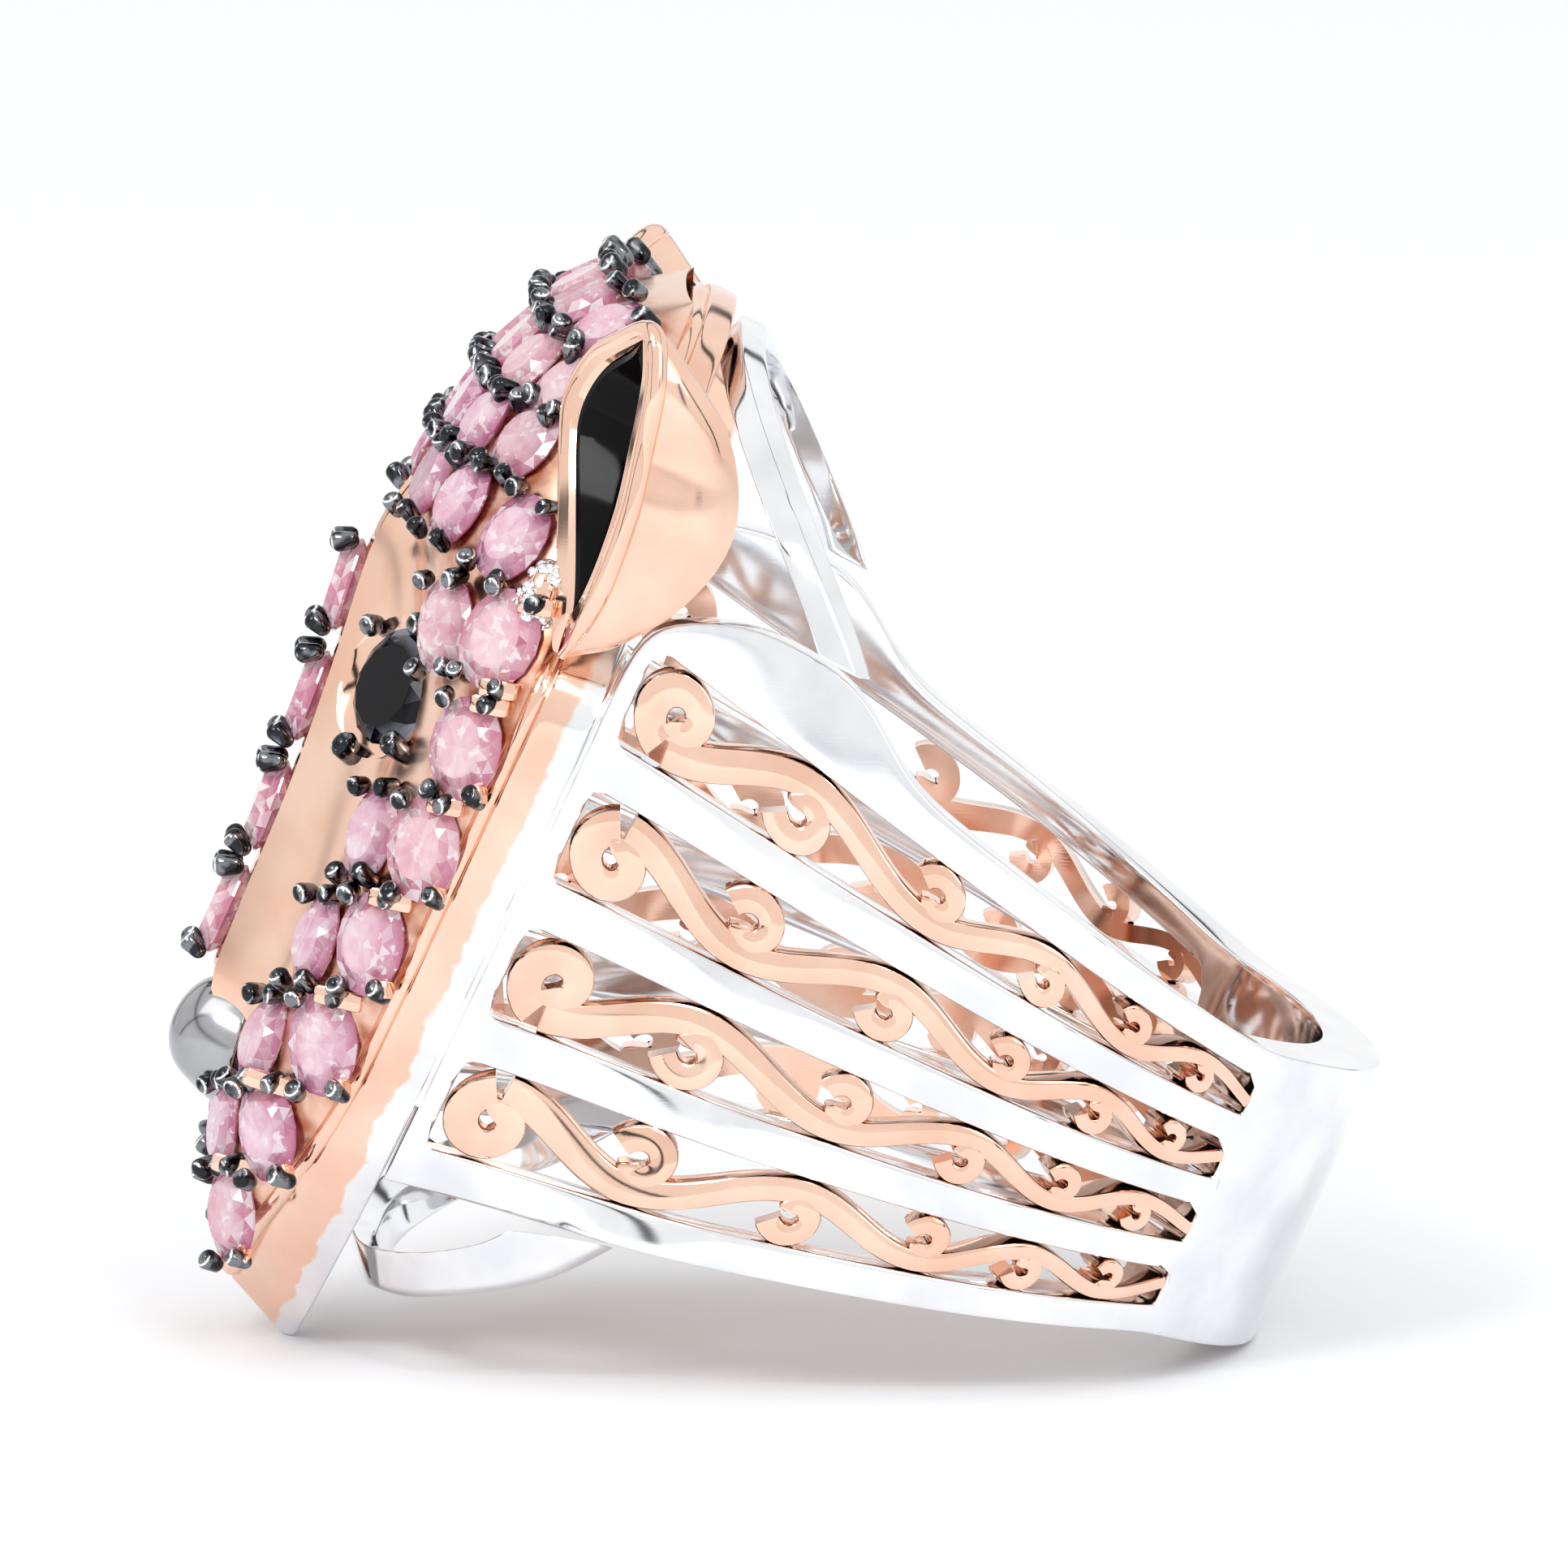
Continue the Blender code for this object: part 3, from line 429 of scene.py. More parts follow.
finish = {
    "silver": metalFinish("brightSilver", "silver", 0.05, 0.13),
    "roseGold": metalFinish("roseGold", "roseGold", 0.05, 0.14),
    "frame": platedFrameFinish(),
    "face": faceFinish(),
    "gunmetal": clawFinish(),
    "nose": metalFinish("noseRhodium", "nose", 0.12, 0.22),
    "enamel": blackFinish("blackEnamel", (0.006, 0.005, 0.006), 0.08, 1.45),
    "blackStone": blackFinish("blackStone", (0.004, 0.004, 0.006), 0.02, 1.6),
    "pinkStone": pinkStoneFinish(),
}
print("finishes are ready")


# small modelling helpers


def only(piece):
    bpy.ops.object.select_all(action="DESELECT")
    piece.select_set(True)
    bpy.context.view_layer.objects.active = piece


def newPiece(name, mesh, paint):
    piece = bpy.data.objects.new(name, mesh)
    bpy.context.scene.collection.objects.link(piece)
    piece.data.materials.clear()
    piece.data.materials.append(paint)
    return piece


def applyModifier(piece, kind, **values):
    only(piece)
    modifier = piece.modifiers.new(kind.title(), kind)
    for key, value in values.items():
        setattr(modifier, key, value)
    bpy.ops.object.modifier_apply(modifier=modifier.name)


def smooth(piece, degrees):
    only(piece)
    bpy.ops.object.shade_smooth_by_angle(angle=math.radians(degrees))


def keep(piece, slotName, *nodes):
    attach(piece, "root")
    if nodes:
        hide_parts(*nodes)
    return piece


def softCopy(node, name, paint, edge, sharp=40):
    # the designed solid, merged and made of quads, with its edges rounded and its curves refined
    piece = newPiece(name, frame["nodes"][node].data.copy(), paint)
    only(piece)
    bpy.ops.object.mode_set(mode="EDIT")
    bpy.ops.mesh.select_all(action="SELECT")
    bpy.ops.mesh.remove_doubles(threshold=1e-6)
    bpy.ops.mesh.tris_convert_to_quads(face_threshold=math.radians(35), shape_threshold=math.radians(75))
    bpy.ops.mesh.customdata_custom_splitnormals_clear()
    bpy.ops.object.mode_set(mode="OBJECT")
    angle = math.radians(sharp)
    applyModifier(piece, "BEVEL", width=edge * mm, segments=2, limit_method="ANGLE", angle_limit=angle)
    applyModifier(piece, "SUBSURF", levels=2, render_levels=2)
    smooth(piece, 50)
    print(" ", name, len(piece.data.polygons), "faces")
    return piece


def joined(pieces, name):
    only(pieces[0])
    for piece in pieces:
        piece.select_set(True)
    bpy.ops.object.join()
    whole = bpy.context.view_layer.objects.active
    whole.name = name
    whole.data.name = name
    return whole


def placedCopy(pattern, name, matrix):
    mesh = pattern.data.copy()
    mesh.name = name
    mesh.transform(matrix)
    piece = bpy.data.objects.new(name, mesh)
    bpy.context.scene.collection.objects.link(piece)
    return piece


def basis(x, y, z, origin):
    matrix = Matrix.Identity(4)
    for column, axis in enumerate((x, y, z)):
        for row in range(3):
            matrix[row][column] = axis[row]
    matrix.translation = origin
    return matrix


def tube(name, points, radii, paint, sides=4):
    # a round wire along the points, of a radius that may change
    curve = bpy.data.curves.new(name, "CURVE")
    curve.dimensions = "3D"
    curve.bevel_depth = 1.0
    curve.bevel_resolution = sides
    curve.use_fill_caps = True
    line = curve.splines.new("POLY")
    line.points.add(len(points) - 1)
    for spot, place, radius in zip(line.points, points, radii):
        spot.co = (*place, 1)
        spot.radius = radius * mm
    wire = bpy.data.objects.new(name, curve)
    bpy.context.scene.collection.objects.link(wire)
    only(wire)
    bpy.ops.object.convert(target="MESH")
    piece = bpy.context.view_layer.objects.active
    piece.data.materials.clear()
    piece.data.materials.append(paint)
    smooth(piece, 60)
    return piece


# shank and scroll frets

shank = {
    "outerRadius": 10.3, "reach": 11.3, "drawIn": 1.0, "drawInStart": 0.31,
    "laneBack": -7.107, "laneHead": 10.75, "backHalfWidth": 3.8, "widthTaper": 0.24,
    "rail": (0.77, 1.26), "edgeRail": (0.75, 1.15),
    "cheek": ((-13.9, 0.0), (-12.6, 2.1), (-10.3, 4.6), (-7.5, 6.6), (-2.8, 8.2), (1.35, 8.95), (4.4, 9.2)),
}
fret = {
    "gap": 0.03, "top": 0.0, "bottom": 0.95, "places": (0.066, 0.261, 0.468, 0.64, 0.78, 0.904),
    "overrun": 0.9, "firstTurn": (255, -128), "turn": (155, -155), "firstRadius": 0.37, "radius": 0.35,
    "endRadius": 0.1, "drop": 0.06, "stemWidth": 0.38, "curlWidth": 0.35, "tipWidth": 0.3, "bulb": 0.36,
    "edge": 0.09,
}
quarter = shank["outerRadius"] * math.pi / 2
laneBackQ = shank["outerRadius"] * math.acos(-shank["laneBack"] / shank["outerRadius"])
laneLength = quarter + shank["laneHead"] - laneBackQ


def eased(value, low, high):
    share = min(max((value - low) / (high - low), 0.0), 1.0)
    return share * share * (3 - 2 * share)


def smoothCurve(points, steps):
    # Catmull-Rom through the points
    points = np.array(points, float)
    ends = np.vstack([2 * points[0] - points[1], points, 2 * points[-1] - points[-2]])
    found = []
    for i in range(len(points) - 1):
        before, start, end, after = ends[i : i + 4]
        for k in range(steps):
            t = k / steps
            bend = 2 * before - 5 * start + 4 * end - after
            swing = 3 * start - before - 3 * end + after
            found.append(0.5 * (2 * start + (end - before) * t + bend * t**2 + swing * t**3))
    found.append(points[-1])
    return np.array(found)


cheekLine = smoothCurve(shank["cheek"], 12)


def pathPoint(q):
    if q < quarter:
        turn = q / shank["outerRadius"]
        return shank["outerRadius"] * math.sin(turn), -shank["outerRadius"] * math.cos(turn)
    out = q - quarter
    return shank["outerRadius"] - shank["drawIn"] * (out / shank["reach"]) ** 2, out


def shankPlace(q, up, depth, side):
    s, out = pathPoint(q)
    blend = eased(out, shank["drawInStart"] * shank["reach"], shank["reach"])
    cheek = float(np.interp(up, cheekLine[:, 0], cheekLine[:, 1]))
    s = s * (1 - blend) + cheek * blend
    if q < quarter:
        turn = q / shank["outerRadius"]
        return ringPlace(side * (s - depth * math.sin(turn)), out + depth * math.cos(turn), up)
    return ringPlace(side * (s - depth), out, up)


def laneAt(x, lane):
    q = quarter + shank["laneHead"] - x
    out = pathPoint(q)[1]
    share = max(out - shank["laneBack"], 0) / (shank["laneHead"] - shank["laneBack"])
    rail = shank["rail"][0] + (shank["rail"][1] - shank["rail"][0]) * share
    edge = shank["edgeRail"][0] + (shank["edgeRail"][1] - shank["edgeRail"][0]) * share
    half = shank["backHalfWidth"] + shank["widthTaper"] * max(out - shank["laneBack"], 0)
    width = (half - edge - 1.5 * rail) / 2
    inner = rail / 2 + width / 2
    middle = (-(inner + width + rail), -inner, inner, inner + width + rail)[lane]
    return middle, width - 2 * fret["gap"], q


def scrollStem(turned):
    places = [share * laneLength for share in fret["places"]] + [laneLength + fret["overrun"]]
    last = laneLength - fret["gap"]
    steps = 16
    waves = []
    for k in range(len(places) - 1):
        span = places[k + 1] - places[k]
        waves += [(places[k] + span * j / steps, k + j / steps) for j in range(steps)]
    waves = [(x, wave) for x, wave in waves if x < last]
    waves.append((last, len(places) - 2 + (last - places[-2]) / (places[-1] - places[-2])))
    points, widths = [], []
    for x, wave in waves:
        height = laneAt(x, 0)[1]
        points.append((x, -turned * 0.5 * height * (1 - fret["stemWidth"]) * math.cos(math.pi * wave)))
        widths.append(fret["stemWidth"] * height)
    return points, widths


def scrollCurl(number, turned):
    x = fret["places"][number] * laneLength
    height = laneAt(x, 0)[1]
    above = turned * (1 if number % 2 == 0 else -1)
    start, end = fret["turn"] if number else fret["firstTurn"]
    first = fret["radius"] if number else fret["firstRadius"]
    thick = fret["curlWidth"] if number else fret["stemWidth"]
    steps = 44
    points, widths = [], []
    for k in range(steps + 1):
        t = k / steps
        angle = math.radians(start + (end - start) * t)
        radius = height * (first + (fret["endRadius"] - first) * t)
        middle = height * fret["drop"]
        points.append((x + radius * math.cos(angle), above * (middle + radius * math.sin(angle))))
        width = thick + (fret["tipWidth"] - thick) * min(t * 1.15, 1)
        ball = eased(t, 0.86, 0.94)
        roundEnd = math.sqrt(max(1 - max((t - 0.95) / 0.055, 0) ** 2, 0.05))
        width = width * (1 - ball) + fret["bulb"] * ball * roundEnd
        widths.append(height * width)
    return points, widths


def roundedStrip(points, widths, top, bottom, edge):
    # a flat strip with rounded upper edges: columns run from one lower edge over the top to the other
    points = np.array(points)
    ahead = np.gradient(points, axis=0)
    ahead /= np.linalg.norm(ahead, axis=1)[:, None]
    across = np.stack([-ahead[:, 1], ahead[:, 0]], axis=1)
    vertices, faces = [], []
    for place, aside, width in zip(points, across, widths):
        half = width / 2
        soft = min(edge, half * 0.6)
        near = 0.3 * soft
        profile = ((-half, bottom), (-half, top + soft), (-half + near, top + near), (-half + soft, top))
        profile += tuple((-s, depth) for s, depth in reversed(profile))
        for s, depth in profile:
            vertices.append((place[0] + aside[0] * s, place[1] + aside[1] * s, depth))
    count = 8
    for k in range(len(points) - 1):
        for i in range(count):
            j = (i + 1) % count
            faces.append((k * count + i, k * count + j, (k + 1) * count + j, (k + 1) * count + i))
    faces.append(tuple(range(count)))
    last = (len(points) - 1) * count
    faces.append(tuple(last + i for i in reversed(range(count))))
    return vertices, faces


def makeFrets():
    for lane in range(4):
        turned = 1 if lane % 2 else -1
        ribbons = [scrollStem(turned)] + [scrollCurl(k, turned) for k in range(len(fret["places"]))]
        for side, sideName in bothSides:
            vertices, faces = [], []
            for k, (points, widths) in enumerate(ribbons):
                lift = 0.004 * (k % 2) if k else 0.01  # keeps crossing strips from sharing a face
                top, bottom = fret["top"] + lift, fret["bottom"] - lift
                more, sides = roundedStrip(points, widths, top, bottom, fret["edge"])
                faces += [tuple(i + len(vertices) for i in face) for face in sides]
                vertices += more
            bent = []
            for x, y, depth in vertices:
                middle, _, q = laneAt(x, lane)
                bent.append(shankPlace(q, middle + y, depth, side))
            name = f"scroll_{sideName}_{lane + 1}"
            mesh = bpy.data.meshes.new(name)
            mesh.from_pydata(bent, [], faces)
            piece = newPiece(name, mesh, finish["roseGold"])
            only(piece)
            bpy.ops.object.mode_set(mode="EDIT")
            bpy.ops.mesh.select_all(action="SELECT")
            bpy.ops.mesh.normals_make_consistent(inside=False)
            bpy.ops.object.mode_set(mode="OBJECT")
            smooth(piece, 40)
            keep(piece, "rose_gold", f"fret_{sideName}_{lane + 1}")


keep(softCopy("shank", "shankBand", finish["silver"], 0.11), "polished_silver", "shank")
makeFrets()
print("shank and scrolls are ready")


# head frame, arches, face metal, ears

softened = (  # designed solid, piece, finish, edge radius, sharpest edge that stays, slot
    ("head_frame", "headFrame", "frame", 0.1, 40, "rose_gold"),
    ("gallery_arch_ears", "galleryArchEars", "silver", 0.12, 40, "polished_silver"),
    ("gallery_arch_chin", "galleryArchChin", "silver", 0.12, 40, "polished_silver"),
    ("face_shell", "faceShell", "face", 0.1, 50, "rose_gold"),
    ("muzzle_ridge", "muzzleRidge", "roseGold", 0.1, 40, "rose_gold"),
    ("nose", "noseCap", "nose", 0.1, 50, "black_rhodium"),
    ("ear_left", "earShell_left", "roseGold", 0.13, 40, "rose_gold"),
    ("ear_lining_left", "earLining_left", "enamel", 0.05, 40, "black_enamel"),
    ("ear_right", "earShell_right", "roseGold", 0.13, 40, "rose_gold"),
    ("ear_lining_right", "earLining_right", "enamel", 0.05, 40, "black_enamel"),
)
headPieces = {}
for node, name, paint, edge, sharp, slotName in softened:
    headPieces[name] = keep(softCopy(node, name, finish[paint], edge, sharp), slotName, node)
faceShell, noseCap = headPieces["faceShell"], headPieces["noseCap"]

# the nose is drawn out a little along the finger
noseStretch = 1.22
noseMiddle = sum((Vector(corner) for corner in noseCap.bound_box), Vector()) / 8
longer = Matrix.Scale(noseStretch, 4, alongFinger)
noseCap.data.transform(Matrix.Translation(noseMiddle) @ longer @ Matrix.Translation(-noseMiddle))

headShape = {
    "front": 12.75, "chinRise": 0.65,
    "outline": (
        (0.0, -13.9), (2.1, -12.6), (4.6, -10.3), (6.6, -7.5), (8.2, -2.8), (8.95, 1.35), (9.2, 4.4),
        (8.6, 5.7), (7.2, 7.2), (6.5, 9.6), (5.7, 12.4), (3.9, 13.95), (0.0, 14.5),
    ),
}


def chinDrop(up):
    return headShape["chinRise"] * eased(-up, 6.0, 12.0)


def loopRound(inset):
    half = smoothCurve(headShape["outline"], 6)
    loop = np.vstack([half, half[-2:0:-1] * [-1, 1]])
    ahead = np.roll(loop, -1, axis=0) - np.roll(loop, 1, axis=0)
    ahead /= np.linalg.norm(ahead, axis=1)[:, None]
    return loop + np.stack([-ahead[:, 1], ahead[:, 0]], axis=1) * inset


def makeRimLedge():
    # the rounded step between the frame's rim and the face
    ledge = {"inset": 0.42, "radius": 0.3, "out": 0.13, "lowest": -12.9, "chinLift": 0.45}
    points = []
    for s, up in loopRound(ledge["inset"]):
        if up > ledge["lowest"]:
            lift = ledge["chinLift"] * chinDrop(up) * eased(-up, 8, 13)
            points.append(ringPlace(s, headShape["front"] + chinDrop(up) + ledge["out"], up + lift))
    keep(tube("rimLedge", points, [ledge["radius"]] * len(points), finish["roseGold"]), "rose_gold")


def makeSolderSeams():
    # the solder that fills the joint between each shoulder and the frame
    seam = {"inset": 0.13, "radius": 0.12, "out": 11.33, "low": -6.7, "high": 6.4}
    for side, sideName in bothSides:
        beside = [(s, up) for s, up in loopRound(seam["inset"]) if s * side > 0]
        points = [ringPlace(s, seam["out"], up) for s, up in beside if seam["low"] < up < seam["high"]]
        radii = [seam["radius"]] * len(points)
        keep(tube(f"solderSeam_{sideName}", points, radii, finish["silver"]), "polished_silver")


makeRimLedge()
makeSolderSeams()

earLip = {
    "radius": 0.27, "inset": 0.12, "tipDrop": 0.15, "startShare": 0.45, "endLoss": 0.5,
    "outer": (  # each: how far up, how far to the side, and how far in front of the frame
        (5.8, 9.2, 0.15), (6.4, 9.6, 0.05), (7.1, 9.9, 0.0), (8.1, 10.1, 0.0), (9.8, 10.2, 0.15),
        (11.3, 10.05, 0.45), (12.6, 10.1, 0.75), (13.4, 10.0, 1.0), (14.0, 9.8, 1.3),
    ),
    "inner": (
        (14.0, 9.1, 1.6), (13.4, 8.2, 1.95), (12.6, 7.5, 2.35), (11.3, 7.4, 2.45), (9.8, 8.05, 1.9),
        (8.1, 8.6, 1.2),
    ),
}


def makeEarLips():
    # the rolled edge that runs up the ear's outer side, over its tip and down the inner side
    line = smoothCurve(earLip["outer"] + earLip["inner"], 5)
    for side, sideName in bothSides:
        points, radii = [], []
        for k, (up, s, rise) in enumerate(line):
            share = k / (len(line) - 1)
            out = headShape["front"] + rise - earLip["inset"]
            height = up - earLip["tipDrop"] * eased(up, 12, 14)
            points.append(ringPlace(side * (s - earLip["inset"]), out, height))
            start = earLip["startShare"] + (1 - earLip["startShare"]) * eased(share, 0, 0.2)
            radii.append(earLip["radius"] * start * (1 - earLip["endLoss"] * eased(share, 0.7, 1)))
        keep(tube(f"earLip_{sideName}", points, radii, finish["roseGold"], sides=5), "rose_gold")


makeEarLips()
print("head and ears are ready")


# stones

gem = {
    "sides": 16, "eyeSides": 12, "girdle": 0.45, "band": 0.07,
    "crownBreak": 0.78, "breakHeight": 0.62, "crownRise": 0.24, "table": 0.6,
    "pavilionBreak": 0.8, "pavilionDrop": 0.2, "culetDrop": 0.22, "culet": 0.3,
    "eyeFull": 1.3, "eyeTall": 1.15, "ridgeTall": 1.3, "ridgeFull": 1.12, "tableTones": (0.3, 0.82),
# the last values on the next line are the range of the table's painted facet reflections
}


def drawOut(piece, disc, steps):
    # extrudes one disc of the girdle by steps, each with its rise, its scale and its turn
    bpy.ops.mesh.select_all(action="DESELECT")
    bpy.ops.object.mode_set(mode="OBJECT")
    piece.data.polygons[disc].select = True
    bpy.ops.object.mode_set(mode="EDIT")
    height = gem["girdle"]
    for rise, scale, turn in steps:
        bpy.ops.mesh.extrude_region_move(TRANSFORM_OT_translate={"value": (0, 0, rise)})
        height += rise
        bpy.ops.transform.resize(value=(scale, scale, 1), center_override=(0, 0, height))
        if turn:
            bpy.ops.transform.rotate(value=turn, orient_axis="Z", center_override=(0, 0, height))


def makeGem(name, sides, paint):
    # an oval cut on a unit cell: 1 long, 1 wide, 1 high, standing on its culet at the origin
    half = math.pi / sides
    crownSteps = (
        (gem["band"], 1.0, 0),
        (gem["breakHeight"] - gem["girdle"], gem["crownBreak"], half),
        (gem["crownRise"], gem["table"] / gem["crownBreak"], half),
    )
    pavilionSteps = (
        (-gem["pavilionDrop"], gem["pavilionBreak"], half),
        (-gem["culetDrop"], gem["culet"] / gem["pavilionBreak"], half),
    )
    place = (0, 0, gem["girdle"])
    bpy.ops.mesh.primitive_circle_add(vertices=sides, radius=0.5, fill_type="NGON", location=place)
    piece = bpy.context.object
    piece.name = name
    bpy.ops.object.mode_set(mode="EDIT")
    bpy.ops.mesh.select_all(action="SELECT")
    bpy.ops.mesh.duplicate()
    bpy.ops.mesh.flip_normals()
    drawOut(piece, 0, crownSteps)
    drawOut(piece, 1, pavilionSteps)
    bpy.ops.mesh.select_all(action="SELECT")
    bpy.ops.mesh.remove_doubles(threshold=1e-5)
    bpy.ops.mesh.normals_make_consistent(inside=False)
    bpy.ops.mesh.quads_convert_to_tris(quad_method="SHORTEST_DIAGONAL", ngon_method="BEAUTY")
    # the table becomes one flat fan, whose triangles take their own painted reflections like facets seen
    # through it
    bpy.ops.mesh.dissolve_limited(angle_limit=math.radians(1))
    bpy.ops.mesh.select_all(action="DESELECT")
    bpy.ops.object.mode_set(mode="OBJECT")
    for face in piece.data.polygons:
        face.select = len(face.vertices) >= sides - 1
    bpy.ops.object.mode_set(mode="EDIT")
    bpy.ops.mesh.poke()
    bpy.ops.object.mode_set(mode="OBJECT")
    piece.data.materials.append(paint)
    rim = piece.data.attributes.new("rim", "FLOAT", "POINT")
    for vertex in piece.data.vertices:
        rim.data[vertex.index].value = 2 * math.hypot(vertex.co.x, vertex.co.y)
    return piece


def stonePose(node):
    # base point, directions and size of a designed stone, read from its solid
    mesh = frame["nodes"][node].data
    areas = {}
    for face in mesh.polygons:
        key = tuple(round(part, 2) for part in face.normal)
        areas.setdefault(key, [0.0, Vector((0, 0, 0))])
        areas[key][0] += face.area
        areas[key][1] += face.normal * face.area
    normal = max(areas.values(), key=lambda entry: entry[0])[1].normalized()
    points = [vertex.co.copy() for vertex in mesh.vertices]
    heights = [point.dot(normal) for point in points]
    low, high = min(heights), max(heights)
    middle = sum(points, Vector()) / len(points)
    centre = middle + normal * (low - middle.dot(normal))
    flat = [(point - centre) - normal * (point - centre).dot(normal) for point in points]
    longest = max(flat, key=lambda v: v.length)
    along = longest.normalized()
    if along.dot(alongFinger) < 0:
        along.negate()
    across = normal.cross(along)
    width = 2 * max(abs(v.dot(across)) for v in flat)
    return {
        "base": centre, "normal": normal, "along": along, "across": across,
        "length": 2 * longest.length, "width": width, "height": high - low,
    }


def poseMatrix(pose):
    x = pose["along"] * pose["length"]
    y = pose["across"] * pose["width"]
    z = pose["normal"] * pose["height"]
    return basis(x, y, z, pose["base"])


def setStone(pattern, name, pose, *nodes):
    tables = [face.normal.z > 0.98 for face in pattern.data.polygons]
    roll = Matrix.Rotation(math.radians(chance.uniform(-3, 3)), 4, pose["along"])
    pitch = Matrix.Rotation(math.radians(chance.uniform(-2, 2)), 4, pose["across"])
    turned = dict(pose)
    for key in ("along", "across", "normal"):
        turned[key] = roll @ pitch @ pose[key]
    piece = placedCopy(pattern, name, poseMatrix(turned))
    mesh = piece.data
    own = mesh.attributes.new("tone", "FLOAT", "POINT")
    level = chance.random()
    own.data.foreach_set("value", [level] * len(mesh.vertices))
    facet = mesh.attributes.new("facet", "FLOAT", "FACE")
    # each facet's painted reflection, lighter or darker; the table's stay in a narrower range
    facetReflections = [chance.uniform(*gem["tableTones"]) if table else chance.random() for table in tables]
    facet.data.foreach_set("value", facetReflections)
    return keep(piece, "black_stone" if name.startswith("eye") else "pink_stone", *nodes)


pinkPattern = makeGem("pinkPattern", gem["sides"], finish["pinkStone"])
eyePattern = makeGem("eyePattern", gem["eyeSides"], finish["blackStone"])
poses = {}
for node in sorted(frame["nodes"]):
    if node.startswith("stone_"):
        poses[node] = stonePose(node)
        if "muzzle" in node:
            poses[node]["height"] *= gem["ridgeTall"]
            poses[node]["width"] *= gem["ridgeFull"]
        setStone(pinkPattern, node.replace("stone_", "gem_"), poses[node], node)
    elif node.startswith("eye_"):
        poses[node] = stonePose(node)
        poses[node]["width"] *= gem["eyeFull"]
        poses[node]["height"] *= gem["eyeTall"]
        setStone(eyePattern, node.replace("eye_", "eyeGem_"), poses[node], node)

# the two middle rows of the forehead, between the brow row and the crown row
forehead = {
    "rows": (((1.35, 9.55), (3.6, 9.5), (5.55, 9.75)), ((1.2, 11.35), (3.15, 11.25), (4.95, 11.3))),
    "length": 2.3, "width": 1.95, "height": 0.75, "lift": 0.04,
}


def castOnFace(side, up):
    _, place, normal, _ = faceShell.ray_cast(ringPlace(side, 30, up), -outward)
    return place, normal.normalized()


bpy.context.view_layer.update()
for side, sideName in bothSides:
    spots = [spot for row in forehead["rows"] for spot in row]
    for k, (s, up) in enumerate(spots):
        place, normal = castOnFace(side * s, up)
        along = (alongFinger - normal * alongFinger.dot(normal)).normalized()
        pose = {
            "base": place + normal * forehead["lift"] * mm,
            "normal": normal, "along": along, "across": normal.cross(along),
        }
        pose.update({size: forehead[size] * mm for size in ("length", "width", "height")})
        name = f"forehead_{sideName}_{k + 1}"
        poses[name] = pose
        setStone(pinkPattern, f"gem_{name}", pose)
print(len(poses), "stones are set")


# the muzzle's sides and the cups under the eyes

flank = {
    "inner": 0.98, "drop": 0.1, "sink": 0.02, "power": 2.3, "thick": 0.12, "rows": 30, "columns": 10,
    "top": ((-6.9, 3.75), (-6.2, 4.25), (-4.0, 4.4), (-1.0, 4.5), (2.0, 4.75), (5.4, 5.1), (7.0, 4.85)),
    "foot": ((-6.9, 2.3), (-5.0, 3.0), (-3.0, 3.5), (-0.5, 3.9), (2.7, 3.7), (5.0, 3.9), (7.0, 2.6)),
}


def outOf(place):
    return (place - ringCentre).dot(outward) / mm


def makeFlank(side, sideName):
    # a hollowed slope from the muzzle ridge down to the cheek
    top, foot = smoothCurve(flank["top"], 8), smoothCurve(flank["foot"], 8)
    vertices, faces = [], []
    low, high = flank["top"][0][0], flank["top"][-1][0]
    rows, columns = flank["rows"], flank["columns"]
    for r in range(rows):
        up = low + (high - low) * r / (rows - 1)
        edge = float(np.interp(up, foot[:, 0], foot[:, 1]))
        start = headShape["front"] + float(np.interp(up, top[:, 0], top[:, 1])) - flank["drop"]
        end = outOf(castOnFace(side * edge, up)[0]) - flank["sink"]
        for c in range(columns):
            u = c / (columns - 1)
            s = flank["inner"] + (edge - flank["inner"]) * u
            vertices.append(ringPlace(side * s, end + (start - end) * (1 - u) ** flank["power"], up))
    for r in range(rows - 1):
        for c in range(columns - 1):
            k = r * columns + c
            corners = (k, k + 1, k + columns + 1, k + columns)
            faces.append(corners if side > 0 else (k, *corners[:0:-1]))
    name = f"muzzleSide_{sideName}"
    mesh = bpy.data.meshes.new(name)
    mesh.from_pydata(vertices, [], faces)
    piece = newPiece(name, mesh, finish["face"])
    applyModifier(piece, "SOLIDIFY", thickness=flank["thick"] * mm, offset=-1)
    smooth(piece, 60)
    keep(piece, "rose_gold")


eyeCup = {"sides": 24, "rim": 1.05, "height": 0.3, "deep": 1.35, "taper": 0.72, "wall": 0.04, "hollow": 0.12}


